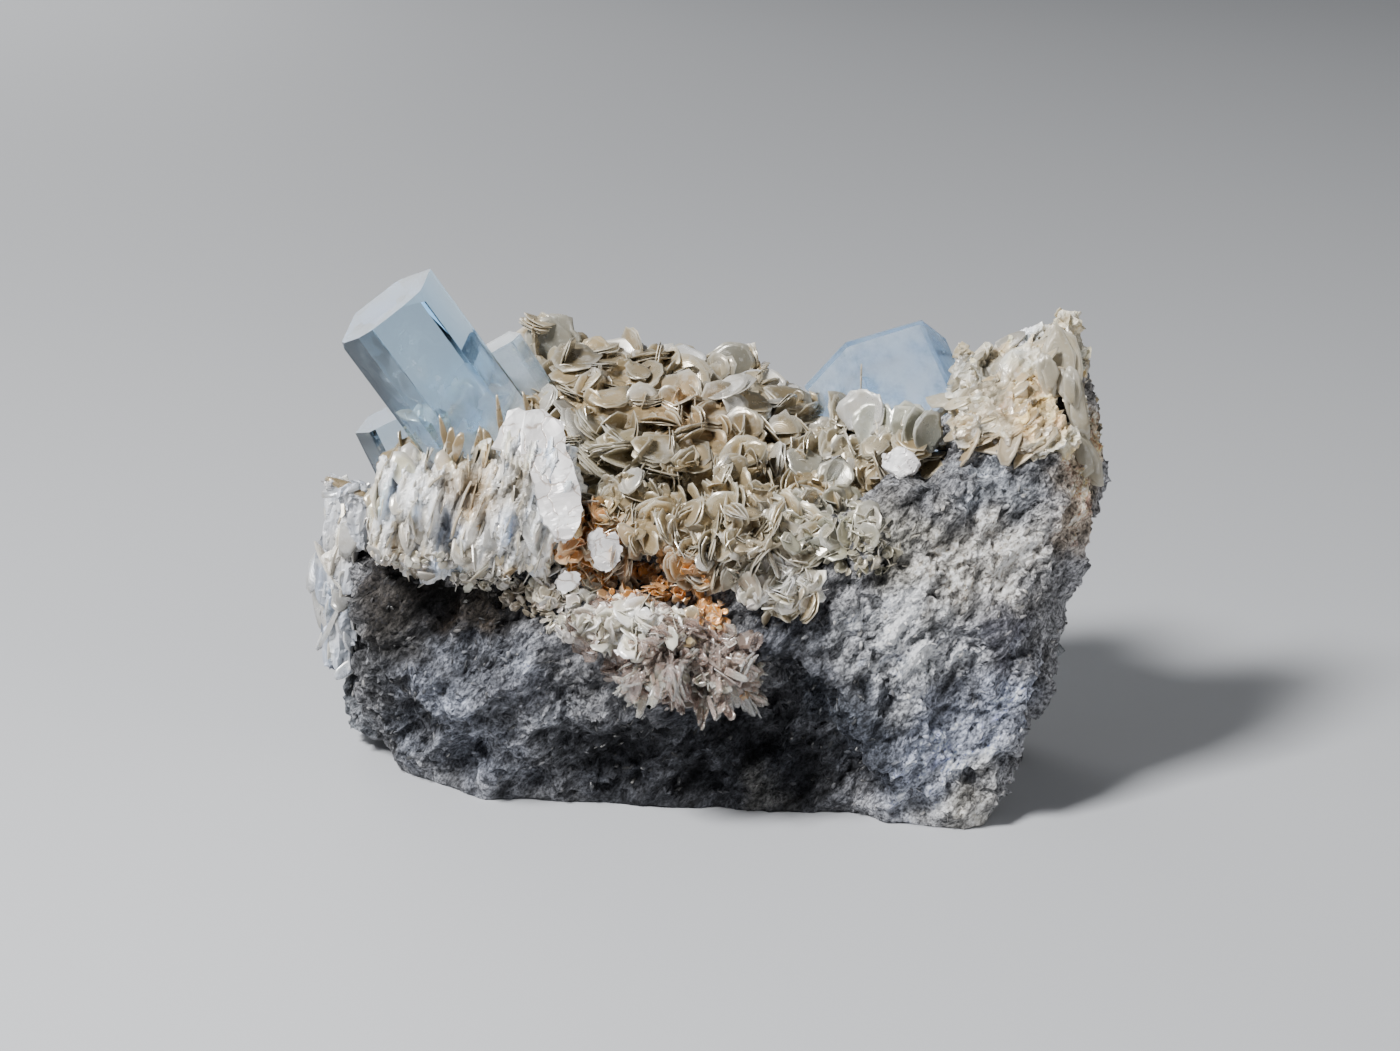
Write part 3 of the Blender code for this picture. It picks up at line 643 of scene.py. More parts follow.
# %% [markdown]
# ## The rock
#
# The matrix is a fine feldspar and mica schist. It breaks into ledges and hackly facets, and close up it
# is a felt of tiny flakes and needles. Displacement in the material would show that relief only in a
# render, so the mesh itself is moved: the solid is remeshed into small even faces, which are pushed in
# and out by noises of several sizes, stretched along the rock's grain. Near the prisms the push fades, so
# that the rock stays out of them, and flat shading keeps every facet crisp.

# %% Rock shape
ROCK_FACE = 0.62  # side in mm of the faces that the rock is remeshed into
ROCK_AXES = directions((-0.75, 0.2, 0.65), (0.65, 0.1, 0.75))
ROCK_TERMS = (  # kind of noise, its sizes along the three directions and its height in mm, seed
    (ridges, (9, 12, 15), 1.6, 1), (lumps, (5, 6, 9), 1.1, 2), (chips, (4, 5, 6), 1.2, 3),
    (ridges, (2.2, 2.8, 4), 0.55, 4), (chips, (1.5, 1.8, 2.6), 0.6, 5), (lumps, (0.9, 1.2, 1.6), 0.25, 6),
)
BERYL_NODES = ("main_aquamarine", "second_aquamarine", "small_left_aquamarine", "big_right_aquamarine")
CALM_REACH = 1.6  # how far round the prisms, in mm, the push fades
CALM_FOOT = 4  # how far above the floor, in mm, it fades too


def nearness(points, names, reach):
    """1 on the surface of these solids, fading to 0 at the reach."""
    near = np.zeros(len(points))
    for name in names:
        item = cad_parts[name]
        low, high = (np.array(corner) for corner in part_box(name))
        inside = np.flatnonzero(((points > low - reach) & (points < high + reach)).all(axis=1))
        for index in inside:
            point = Vector(points[index])
            found, place, _, _ = item.closest_point_on_mesh(point, distance=reach)
            if found:
                near[index] = max(near[index], 1 - (place - point).length / reach)
    return near


def pushed(local, terms):
    """The sum of the noises, in mm, at points given in mm along a cluster's three directions."""
    return sum(height * kind(local, np.array(sizes), seed) for kind, sizes, height, seed in terms)


rock_mesh = even_copy("rock_matrix", ROCK_FACE, 2)
rock_points = points_of(rock_mesh)
rock_push = pushed(rock_points @ ROCK_AXES.T / MM, ROCK_TERMS)
calm = 1 - nearness(rock_points, BERYL_NODES, CALM_REACH * MM)
foot = np.clip(rock_points[:, 2] / (CALM_FOOT * MM), 0.15, 1)
rock_points = rock_points + normals_of(rock_mesh) * (rock_push * calm * foot * MM)[:, None]
rock_points = np.clip(rock_points, *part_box("rock_matrix"))
put_points(rock_mesh, rock_points)
rock_mesh.shade_flat()
print("rock pushed by", round(rock_push.min(), 1), "to", round(rock_push.max(), 1), "mm")

# %% [markdown]
# The rock is dark grey low down and paler on the right. Under the overhang of the mica and in the undercut
# at its foot it is painted near black, as painted shade. A colour for each point would be a long table, so a
# few patches of colour fade into each other. A patch on the front is given by any place on the line that the
# camera looks along, and a ray along that line finds the surface. What is finer than the mesh, the pale and
# dark grains, is in the material.

# %% What the front shows
VIEW_LINE = -back
FRONT_Y = 5  # a patch whose y is below this, in mm, belongs on the front
RAY_START = 0.15  # how far before the place, in metres, a ray starts


def joined_tree(*meshes):
    """One search tree over several meshes."""
    points, faces = [], []
    for mesh in meshes:
        start = len(points)
        points += [vertex.co.copy() for vertex in mesh.vertices]
        faces += [[start + corner for corner in face.vertices] for face in mesh.polygons]
    return BVHTree.FromPolygons(points, faces)


def seen_at(tree, place):
    """Where the camera's line through this place in mm meets the front, and the normal there."""
    start = Vector(place) * MM - VIEW_LINE * RAY_START
    found, normal, _, _ = tree.ray_cast(start, VIEW_LINE)
    return (found / MM, normal) if found else (Vector(place), None)


def seen_zones(tree, patches):
    """The patches, those of the front moved along the camera's line onto it."""
    return [(seen_at(tree, row[0])[0] if row[0][1] < FRONT_Y else row[0], *row[1:]) for row in patches]

# %% Rock colours
ROCK_PATCHES = (  # centre in mm, radius in mm, colour, strength
    ((-41, -22, 21), 10, (0.15, 0.165, 0.205), 1.2), ((-34, -22, 12), 9, (0.20, 0.215, 0.26), 1.1),
    # painted shade: these four near-black patches stand for the shadow under the overhang of the mica books
    ((-48, -18, 35.5), 7, (0.022, 0.018, 0.015), 6.0), ((-41, -19, 34.5), 6, (0.022, 0.018, 0.015), 6.0),
    ((-34, -20, 34), 5, (0.03, 0.025, 0.02), 5.0), ((-46, -18, 29.5), 7, (0.035, 0.032, 0.028), 5.0),
    ((-37, -20, 32), 3.5, (0.22, 0.16, 0.11), 3.0),
    ((-50, -14, 26), 7, (0.05, 0.05, 0.05), 1.4), ((-56, -4, 13), 6, (0.26, 0.28, 0.31), 1.1),
    ((-30, -23, 28), 5, (0.25, 0.265, 0.31), 1.2), ((-22, -26, 17), 5, (0.30, 0.31, 0.34), 1.2),
    ((-28, -22, 21), 6, (0.10, 0.105, 0.125), 1.2), ((-45, -18, 12), 6, (0.11, 0.12, 0.145), 1.1),
    # painted shade: these six near-black patches stand for the shadow in the undercut at the foot of the
    # rock
    ((-13, -16, 7), 11, (0.018, 0.02, 0.026), 2.2), ((7, -14, 5), 12, (0.015, 0.017, 0.024), 2.4),
    ((21, -16, 11), 9, (0.022, 0.026, 0.036), 2.2), ((12, -20, 28), 7, (0.035, 0.038, 0.048), 1.8),
    ((18, -18, 18), 8, (0.03, 0.036, 0.048), 1.9), ((-3, -18, 15), 8, (0.03, 0.033, 0.042), 1.8),
    ((36, -22, 41), 8, (0.54, 0.51, 0.46), 1.2), ((28, -22, 29), 8, (0.52, 0.53, 0.55), 1.2),
    ((43, -18, 39), 6, (0.60, 0.58, 0.55), 1.2), ((32, -24, 11), 9, (0.34, 0.37, 0.46), 1.3),
    ((43, -16, 18), 7, (0.24, 0.265, 0.34), 1.1), ((42, -19, 29), 5, (0.06, 0.06, 0.075), 1.5),
    ((56, -2, 52), 7, (0.60, 0.48, 0.33), 1.4), ((41, -14, 50), 6, (0.17, 0.185, 0.21), 1.2),
    ((54, -8, 46), 6, (0.52, 0.42, 0.32), 1.2), ((37, -20, 4), 6, (0.40, 0.38, 0.33), 1.1),
    ((27, -20, 42), 6, (0.22, 0.21, 0.18), 1.1), ((24, -18, 48), 5, (0.10, 0.095, 0.09), 1.2),
    ((7, -24, 5), 4, (0.36, 0.35, 0.32), 1.3), ((33, -22, 50), 5, (0.13, 0.135, 0.15), 1.2),
    ((0, 30, 30), 20, (0.20, 0.20, 0.215), 0.8), ((40, 25, 30), 16, (0.30, 0.265, 0.21), 0.8),
    ((-35, 22, 25), 16, (0.17, 0.185, 0.22), 0.8),
)
ROCK_GREY = (0.22, 0.22, 0.23)
rock_zones = seen_zones(joined_tree(rock_mesh), ROCK_PATCHES)
rock_local = rock_points @ ROCK_AXES.T / MM
streaks = lumps(rock_local, np.array((1.5, 2.5, 6)), 25)
streaks = streaks + 0.7 * lumps(rock_local, np.array((0.8, 1.2, 2.5)), 26)
blots = ridges(rock_local, np.array((4, 5, 8)), 27)
# painted shade and light: the rock is darker where the noise pushes it in and lighter where it pushes it out
painted_hollow_shade = np.clip(rock_push - 0.3, -1.4, 0.6)
shade = np.clip(0.95 + 0.5 * streaks + 0.3 * blots + 0.3 * painted_hollow_shade, 0.15, 1.9)
rock_tints = zoned(rock_points, ROCK_GREY, 0.25, rock_zones, 5, 21) * shade[:, None]
paler = 0.85 + 0.32 * np.clip((rock_points[:, 0] / MM - 5) / 20, 0, 1)  # the right-hand side is paler
rock_tints = rock_tints * paler[:, None]
paint(rock_mesh, rock_tints)
print(len(ROCK_PATCHES), "patches of colour on the rock")

# %% Rock finish


def rock_finish():
    """Patchy schist: pale and dark grains finer than the mesh."""
    material, nodes, link = shader("schist_rock")
    surface = nodes["Principled BSDF"]
    grain = fibres_group("rock grain", ROCK_AXES, (1, 0.9, 0.6))
    fine = line_mask(nodes, grain, 2600.0)
    steep = ranged(nodes, link, line_mask(nodes, grain, 900.0), 0.0, 1.0, 0.32, 0.66)
    sharp = ranged(nodes, link, fine, 0.0, 1.0, 0.36, 0.62)
    wide = ranged(nodes, link, line_mask(nodes, grain, 330.0), 0.1, 0.9, 0.35, 0.65)
    colour = blended(nodes, link, tint_of(nodes), wide, 0.6, "OVERLAY")
    colour = blended(nodes, link, colour, steep, 0.55, "OVERLAY")
    colour = blended(nodes, link, colour, sharp, 0.7, "OVERLAY")
    cells = node(nodes, "ShaderNodeTexVoronoi", {"Scale": 2400.0})
    link(object_place(nodes), cells.inputs["Vector"])
    split = node(nodes, "ShaderNodeSeparateColor")
    link(cells.outputs["Color"], split.inputs["Color"])
    black = worked(nodes, link, "GREATER_THAN", split.outputs["Green"], 0.90)
    grains = worked(nodes, link, "MULTIPLY", black, 0.55)
    colour = blended(nodes, link, colour, (0.03, 0.03, 0.035, 1), grains)
    link(colour, surface.inputs["Base Color"])
    link(ranged(nodes, link, fine, 0.5, 0.9), surface.inputs["Roughness"])
    set_inputs(surface, {"Specular IOR Level": 0.15})
    small = bumped(nodes, link, sharp, 0.12 * MM, 0.9)
    link(bumped(nodes, link, steep, 0.35 * MM, 0.8, onto=small), surface.inputs["Normal"])
    return material


piece("schist_rock", rock_mesh, [rock_finish()], "rock", "rock_matrix")

# %% [markdown]
# Small flakes and needles of mica stand out of the rock all over. Hair could be combed over it, but hair
# isn't a solid mesh, so small plates are strewn at random points of the rock, most of them along its
# grain.

# %% Rock flakes
ROCK_FLAKES = 3600  # how many are tried: those too low or too near a prism are left out
FLAKES_FROM = 2  # height in mm above the floor at which they begin


def nudge(chance, spread):
    """A small random vector, as often one way as the other."""
    return Vector([chance.gauss(0, spread) for _ in range(3)])


rock_flakes = Plates(11, sides=6, rings=(1.0,))
rock_normals = normals_of(rock_mesh)
chance = rock_flakes.chance
for _ in range(ROCK_FLAKES):
    index = chance.randrange(len(rock_points))
    point, normal = Vector(rock_points[index]) / MM, Vector(rock_normals[index])
    if point.z < FLAKES_FROM or calm[index] < 1:
        continue
    grain = Vector(ROCK_AXES[2]) + nudge(chance, 0.7)
    facing = normal + nudge(chance, 0.45)
    rise = (grain - normal * grain.dot(normal)).normalized() + normal * chance.uniform(0, 0.5)
    wide, tall = chance.uniform(0.25, 0.8), chance.uniform(0.7, 1.9)
    tint = np.clip(rock_tints[index], 0.03, 0.6) * chance.choice((0.5, 1.0, 1.3, 1.7))
    rock_flakes.add(point + normal * 0.08, facing, rise, wide, tall, 0.12, 0.0, tint)
plates_piece("rock_flakes", rock_flakes, DULL, "rock", "rock_matrix")

# %% [markdown]
# ## The rosette crust
#
# The crust is a bed of small plates with rosettes of thin books on it. Geometry nodes could strew plates
# over the bed, but in a rosette each book has a place of its own. So the rosettes are a list, and a loop
# opens each one round its own lean, with its inner books upright and its outer ones lying back. Large
# books lie on the high mound like tiles, a few parallel ones slope down to the right, and plates of
# several sizes fill the bed between them. The bed itself comes from the plain solid, remeshed and
# smoothed until only its mounds are left.

# %% Crust colours
TAN = np.array((0.54, 0.42, 0.24))
OLIVE = np.array((0.33, 0.30, 0.18))
GREYISH = np.array((0.50, 0.48, 0.40))
CREAM = np.array((0.84, 0.76, 0.58))
SILVER = np.array((0.86, 0.86, 0.84))
RUST = np.array((0.82, 0.35, 0.06))
SILVER_SHARE = 0.10  # how many of the plates look silvery
CRUST_PATCHES = (  # centre in mm, radius in mm, colour, strength
    ((-12, -11, 50), 7, (0.22, 0.21, 0.15), 1.3), ((-17, -6, 53), 6, OLIVE, 1.0),
    ((-20, -20, 44), 4.5, RUST, 2.0), ((-14, -22, 40), 5, RUST, 2.4), ((-6, -23, 38), 5, RUST, 2.2),
    ((-1, -24, 34), 4, RUST, 2.0), ((-17, -21, 47), 3, RUST, 1.5), ((8, -24, 41), 6, SILVER, 1.2),
    ((12, -24, 46), 6, CREAM, 1.0), ((2, -21, 45), 7, CREAM * 0.9, 0.7),
    ((-24, 18, 60), 8, GREYISH, 1.0), ((-16, 8, 58), 6, TAN * 1.2, 0.9),
    ((-3, 3, 57), 8, (0.60, 0.38, 0.18), 1.1), ((20, 2, 52), 9, (0.58, 0.56, 0.46), 1.0),
    ((-12, -24, 33), 6, (0.84, 0.82, 0.78), 1.6), ((-4, -24, 31), 5, (0.72, 0.62, 0.54), 1.2),
    ((4, 20, 57), 8, GREYISH, 0.8), ((0, -18, 48), 6, (0.62, 0.50, 0.30), 1.0),
)
print(len(CRUST_PATCHES), "patches of colour on the crust")


def petal_tints(plates, centre):
    """The colour of a plate's middle and of its rim, which is paler: partly the rim's own colour and partly
    a painted highlight.
    """
    chance = plates.chance
    tint = zoned(np.array([centre]) * MM, TAN, 0.6, CRUST_PATCHES, 3, 40)[0]
    other = chance.choice((TAN, OLIVE, GREYISH, GREYISH * 1.3))
    tint = tint + (other - tint) * chance.uniform(0, 0.35)
    tint = tint * chance.uniform(0.65, 1.3)
    if chance.random() < SILVER_SHARE:
        tint = tint * 0.25 + SILVER * 0.75
    return tint, tint * 0.7 + CREAM * chance.uniform(0.25, 0.5)

# %% Crust bed
bed_mesh = even_copy("mica_rosette_crust", 0.8, 18)
bed_points = points_of(bed_mesh)
rough = 0.4 * chips(bed_points, 1.6 * MM, 31) + 0.35 * lumps(bed_points, 2.5 * MM, 32) - 0.4
bed_points = bed_points + normals_of(bed_mesh) * (rough * MM)[:, None]
put_points(bed_mesh, bed_points)
bed_tints = zoned(bed_points, TAN * 0.85, 0.6, CRUST_PATCHES, 3, 40) * 1.1
paint(bed_mesh, bed_tints * (1 + 0.4 * chips(bed_points, 1.2 * MM, 33))[:, None])
bed_mesh.attributes.new("ring", "FLOAT", "POINT")
piece("rosette_bed", bed_mesh, [MICA], "mica", "mica_rosette_crust")

# %% Rosettes
ROSETTES = (  # centre in mm, lean of its axis, size of its books in mm, number of books
    ((-23.7, 19, 55), (0.1, -0.4, 1), 5.0, 7), ((-16, 18, 58), (0.3, -0.4, 1), 9, 8),
    ((-8, 20, 57), (0, -0.3, 1), 9, 8), ((3, 22, 55), (0, -0.3, 1), 9, 8),
    ((12, 19, 52), (0.2, -0.2, 1), 8, 9), ((-23, 8, 55), (-0.3, -0.6, 1), 9, 8),
    ((-14, 8, 57), (0.1, -0.6, 1), 9.5, 9), ((-3, 5, 55), (0.2, -0.5, 1), 9, 9),
    ((6, 6, 53.5), (0.3, -0.5, 1), 9, 9), ((-19, -5, 52), (-0.3, -0.6, 1), 6.5, 12),
    ((-6, -6, 51.5), (0.1, -0.6, 1), 6, 14), ((-13, -17, 46), (-0.2, -1, 0.8), 5.5, 14),
    ((-14, -18.5, 41), (-0.2, -1, 0.3), 5, 12), ((-3, -20.5, 44), (0, -1, 0.8), 6, 16),
    ((-2, -21, 39.5), (0, -1, 0.3), 4.5, 14), ((5, -22, 46), (0.1, -0.9, 0.9), 6.5, 16),
    ((6, -24, 40.5), (-0.2, -1, 0.2), 5, 14), ((12, -22, 44), (0.6, -1, 0.5), 6.5, 14),
    ((11, -25, 37), (0.2, -1, -0.1), 4.5, 12), ((22, 3, 51), (0, -0.6, 1), 9, 9),
    ((30, -3, 52), (0.1, -0.6, 1), 8, 8), ((15, -4, 48), (0, -0.6, 1), 7, 10),
    ((-38, -2, 51), (-0.4, -0.6, 1), 5, 10), ((-30, 18, 54), (-0.2, 0.6, 1), 7, 10),
    ((-6, 27, 52), (0, 1, 0.6), 8, 9), ((10, 25, 48), (0.2, 1, 0.5), 7, 9),
    ((-30, 3, 54), (-0.3, -0.5, 1), 7, 10), ((4, -11, 49), (0.1, -0.7, 1), 7, 12),
    ((0, 13, 54), (0, -0.5, 1), 9, 8), ((-9, 14, 57), (-0.1, -0.5, 1), 9, 8),
    ((18, 10, 49), (0.2, 0.2, 1), 7, 9), ((-42, 4, 50), (-0.3, -0.3, 1), 4.5, 8),
    ((-20, 26, 52), (-0.1, 1, 0.7), 8, 9), ((14, -13, 45), (0.2, -0.7, 1), 7, 10),
)
print(len(ROSETTES), "rosettes")

# %% Books
LEAF_THICK = 0.15  # mm


def add_book(plates, where, facing, rise, wide, tall, bend, sheets):
    """A thin book: a few leaves of different sizes, one behind another."""
    chance = plates.chance
    facing = Vector(facing).normalized()
    tint, edge = petal_tints(plates, where)
    for i in range(sheets):
        shrink = 1 - 0.07 * i * chance.uniform(-0.6, 1.6)
        behind = facing * i * chance.uniform(0.16, 0.32)
        place = Vector(where) - behind + Vector(rise) * chance.uniform(-0.4, 0.4)
        shade = chance.uniform(0.8, 1.15)
        size = (wide * shrink, tall * shrink, LEAF_THICK)
        plates.add(place, facing, rise, *size, bend, tint * shade, edge * shade)


def add_rosette(plates, centre, lean, size, books):
    """Books round one lean, the golden angle apart, each further out and further open than the last."""
    chance = plates.chance
    axis = Vector(lean).normalized()
    side = axis.cross(Vector((0.3, 1, 0.1))).normalized()
    other = axis.cross(side)
    lying = min(max((centre[2] - 47) / 7, 0), 1)  # the high rosettes have opened flat
    for i in range(books):
        out = math.sqrt((i + 0.3) / books)
        azimuth = GOLDEN * i + chance.uniform(-0.9, 0.9)
        opening = math.radians(4 + 36 * out + 42 * lying + chance.uniform(-18, 18))
        outward = side * math.cos(azimuth) + other * math.sin(azimuth)
        rise = axis * math.cos(opening) + outward * math.sin(opening)
        inward = rise.cross(outward.cross(axis))
        if inward.dot(axis) < 0:
            inward = -inward
        inward = inward + axis.cross(outward) * chance.uniform(-0.9, 0.9)
        wide = size * (0.6 + 0.4 * out) * chance.uniform(0.7, 1.15)
        tall = wide * chance.uniform(0.75, 1.0)
        where = Vector(centre) + outward * size * (0.05 + 0.36 * out) + rise * tall * 0.28
        bend = chance.uniform(-0.06, 0.10)
        add_book(plates, where, inward, rise, wide, tall, bend, chance.choice((2, 3, 4, 5)))

# %% Strewn books


def spots_on(mesh, count, spacing, chance, inside=None):
    """Points of a mesh in mm with their normals, in a random order and at least the spacing apart."""
    points, normals = points_of(mesh) / MM, normals_of(mesh)
    order = list(range(len(points)))
    chance.shuffle(order)
    cells, taken = {}, []
    steps = tuple(itertools.product((-1, 0, 1), repeat=3))
    for index in order:
        if len(taken) == count:
            break
        point = points[index]
        if inside is not None and not inside(point):
            continue
        home = tuple(int(x // spacing) for x in point)
        near = [cells.get((home[0] + a, home[1] + b, home[2] + c)) for a, b, c in steps]
        if any(other is not None and np.sum((other - point) ** 2) < spacing**2 for other in near):
            continue
        cells[home] = point
        taken.append((point, Vector(normals[index])))
    return taken


def scatter(plates, mesh, count, sizes, spacing, sheets=1, lean=1.1, inside=None):
    """Single plates or thin books that stand on the points of a mesh."""
    chance = plates.chance
    for point, normal in spots_on(mesh, count, spacing, chance, inside):
        sideways = normal.cross(nudge(chance, 1)).normalized()
        rise = (normal + sideways.cross(normal) * chance.uniform(-lean, lean)).normalized()
        wide = chance.uniform(*sizes)
        facing = sideways + normal * chance.uniform(-0.5, 0.5)
        where = Vector(point) + rise * wide * 0.2
        add_book(plates, where, facing, rise, wide, wide, chance.uniform(0, 0.16), sheets)

# %% Books with a slope of their own


def add_fan(plates, tree, places):
    """Parallel books that slope down to the right, seen nearly on edge."""
    chance = plates.chance
    for x, z in places:
        place, _ = seen_at(tree, (x, FAN_Y, z))
        facing = Vector(FAN_FACING) + nudge(chance, 0.08)
        long = chance.uniform(7, 9.5)
        where = place - VIEW_LINE * chance.uniform(0.8, 1.6)
        bend = chance.uniform(-0.04, 0.02)
        add_book(plates, where, facing, FAN_RISE, long * 0.8, long, bend, chance.choice((3, 4, 5)))


def add_edges(plates, mesh, count, sizes, spacing, inside):
    """Thin upright books turned nearly side-on to the front."""
    chance = plates.chance
    for point, normal in spots_on(mesh, count, spacing, chance, inside):
        turn = chance.gauss(0, 0.55) + chance.choice((0, math.pi))
        facing = Vector((math.cos(turn), math.sin(turn), chance.uniform(-0.1, 0.6)))
        rise = normal + Vector((chance.gauss(0, 0.5), 0, 0.5))
        wide = chance.uniform(*sizes)
        where = Vector(point) + normal * wide * 0.22
        bend = chance.uniform(-0.14, 0.14)
        add_book(plates, where, facing, rise, wide, wide * 0.9, bend, chance.choice((1, 2, 3)))


def add_tiles(plates, mesh, count, sizes, spacing, inside):
    """Large books that lie back on the mounds like roof tiles, their free edges up."""
    chance = plates.chance
    for point, normal in spots_on(mesh, count, spacing, chance, inside):
        facing = normal * 0.5 + Vector((0, -0.15, 0.9)) + nudge(chance, 0.3)
        rise = Vector((chance.gauss(0, 0.6), 0.3, 1))
        wide = chance.uniform(*sizes)
        where = Vector(point) + normal * chance.uniform(0.2, 1.6)
        tall = wide * chance.uniform(0.7, 0.95)
        bend = chance.uniform(-0.06, 0.07)
        add_book(plates, where, facing, rise, wide, tall, bend, chance.choice((2, 3, 4, 6)))


FAN = (  # x and z in mm of the sloping books, where the plane of FAN_Y crosses the view
    (-20.6, 59.5), (-19.4, 57.3), (-17.1, 57.6), (-13.2, 55.9), (-18.3, 55.1), (-17.4, 53.8), (-16.9, 52.6),
    (-15.9, 51.1),
)
FAN_Y = -8
FAN_FACING = (0.62, -0.12, 0.75)  # up and a little to the right
FAN_RISE = (0.75, -0.1, -0.62)  # down to the right, along the slope
CUPS = np.array(((-24, 18, 61), (3, 22, 58)))  # the middles in mm of two large single cups
CUP_ROOM = 6.5  # how far in mm round them is left free


def on_the_mound(point):
    """The high part of the crust, away from its two large single cups."""
    return point[2] > 53 and point[0] > -28 and np.linalg.norm(CUPS - point, axis=1).min() > CUP_ROOM

# %% Crust plates
# The numbers in a call are how many, the smallest and largest width in mm, and the spacing in mm.
crust = Plates(3, sides=12, cuts=2)
for row in ROSETTES:
    add_rosette(crust, *row)
add_tiles(crust, bed_mesh, 64, (5, 9), 3.4, on_the_mound)
add_fan(crust, joined_tree(bed_mesh), FAN)
add_edges(crust, bed_mesh, 110, (3.5, 6.0), 2.3, lambda point: point[1] < 6 and -22 < point[0] < 14)
scatter(crust, bed_mesh, 60, (4.5, 6.5), 3.6, sheets=3)
scatter(crust, bed_mesh, 240, (2.0, 4.0), 2.2)
half = len(crust.rows) // 2  # all the plates would be too large a piece, so their list is cut in two
for name, rows in (("rosette_plates_left", crust.rows[:half]), ("rosette_plates_right", crust.rows[half:])):
    piece(name, crust.mesh(name, rows), [MICA], "mica", "mica_rosette_crust")
small = Plates(5, sides=8, cuts=2)
scatter(small, bed_mesh, 700, (0.8, 2.6), 1.0, lean=1.6, inside=lambda point: point[1] < -8 or point[0] > 10)
plates_piece("crust_flakes", small, MICA, "mica", "mica_rosette_crust")

# %% [markdown]
# ## The aquamarines
#
# A beryl prism is as clear as glass, with a few things in it. Its edges are slightly worn, and their flats
# are painted pale and frosted as a highlight, so they show as bright lines, and its faces carry faint lines
# along its length. A blue surface would look
# like paint, so the blue is absorption inside, deeper where light travels further. Towards its root the
# crystal is milky, with cloudy veils that thin out to wisps. A scattering volume could make them, but it
# is slow and noisy. The milk is an inner skin a little below the faces instead, and the veils are thin
# curved sheets, both with a patchy alpha.

# %% Beryl shapes
MILK_CUTS = 4  # how often the faces of the milk are halved


def long_axis(mesh):
    """The direction of a prism, from its longest edge, pointing up."""
    best = Vector((0, 0, 0))
    for edge in mesh.edges:
        a, b = (mesh.vertices[i].co for i in edge.vertices)
        if (b - a).length > best.length:
            best = b - a
    return best.normalized() * (1 if best.z > 0 else -1)


def along(points, axis):
    """0 at the root and 1 at the tip."""
    height = points @ np.array(axis)
    return (height - height.min()) / (height.max() - height.min())


def milk_mesh(node_name, axis, depth):
    """The prism's faces a little further in, cut fine enough to fade from root to tip."""
    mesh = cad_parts[node_name].data.copy()
    built = bmesh.new()
    built.from_mesh(mesh)
    middle = sum((vertex.co for vertex in built.verts), Vector()) / len(built.verts)
    for vertex in built.verts:
        out = vertex.co - middle
        lift = axis * out.dot(axis)
        side = out - lift
        vertex.co = middle + side * (1 - depth / side.length) + lift * (1 - depth / lift.length)
    for _ in range(MILK_CUTS):
        bmesh.ops.subdivide_edges(built, edges=built.edges, cuts=1, use_grid_fill=True)
    built.to_mesh(mesh)
    built.free()
    return mesh


def veil_mesh(name, centre, axis, facing, width, height, seed):
    """A thin curved sheet inside a crystal."""
    steps = 16  # faces along each side
    across = facing.cross(axis).normalized()
    points, faces = [], []
    for j, i in itertools.product(range(steps + 1), repeat=2):
        u, v = i / steps - 0.5, j / steps - 0.5
        ripple = 1.2 * math.sin(5 * u + seed) + 0.8 * math.sin(7 * v + 2 * seed)
        points.append(centre + across * (u * width) + axis * (v * height) + facing * ripple * MM)
    for j, i in itertools.product(range(steps), repeat=2):
        corner = j * (steps + 1) + i
        faces.append((corner, corner + 1, corner + steps + 2, corner + steps + 1))
    mesh = bpy.data.meshes.new(name)
    mesh.from_pydata(points, [], faces)
    return mesh


def fade(mesh, values):
    """Stores how milky each point is."""
    layer = mesh.attributes.new("milk", "FLOAT", "POINT")
    layer.data.foreach_set("value", np.clip(values, 0, 1).astype(np.float32))

# %% Beryl finishes
BERYL_BLUE = (0.36, 0.72, 0.96, 1)
BERYL_IOR = 1.577  # quartz, at about 1.55, is near enough to share it
MILK_GLOW = 0.2  # light scattered inside the crystal, which a plain surface doesn't gather


def glass_finish(name, axis, density):
    """Clear crystal with fine lines along its axis and slightly uneven polish."""
    material, nodes, link = shader(name)
    surface = nodes["Principled BSDF"]
    set_inputs(surface, {"Base Color": (0.97, 0.99, 1.0, 1), "Transmission Weight": 1, "IOR": BERYL_IOR})
    lined = fibres_group(name + " lines", directions(axis.orthogonal(), axis), (1, 1, 0.04))
    smear = cloud_mask(nodes, 180.0, 0.45, 0.75)
    link(ranged(nodes, link, smear, 0.0, 0.035), surface.inputs["Roughness"])
    link(bumped(nodes, link, line_mask(nodes, lined, 1400.0), 0.02 * MM, 0.12), surface.inputs["Normal"])
    blue = node(nodes, "ShaderNodeVolumeAbsorption", {"Color": BERYL_BLUE, "Density": density})
    link(blue.outputs["Volume"], nodes["Material Output"].inputs["Volume"])
    return material


def edge_highlight_finish(name):
    """The worn edges, painted pale as a highlight, which scatter light."""
    material, nodes, link = shader(name)
    surface = nodes["Principled BSDF"]
    wear_and_highlight = cloud_mask(nodes, 900.0, 0.4, 0.6)
    # painted highlight: the edge flats are pale blue-white, partly wear and partly standing in for the
    # edges' reflections
    link(blended(nodes, link, (0.80, 0.88, 0.95, 1), (0.97, 0.99, 1, 1), wear_and_highlight), surface.inputs["Base Color"])
    set_inputs(surface, {"Transmission Weight": 0.2, "IOR": BERYL_IOR})
    link(ranged(nodes, link, wear_and_highlight, 0.25, 0.55), surface.inputs["Roughness"])
    link(bumped(nodes, link, wear_and_highlight, 0.05 * MM, 0.5), surface.inputs["Normal"])
    return material


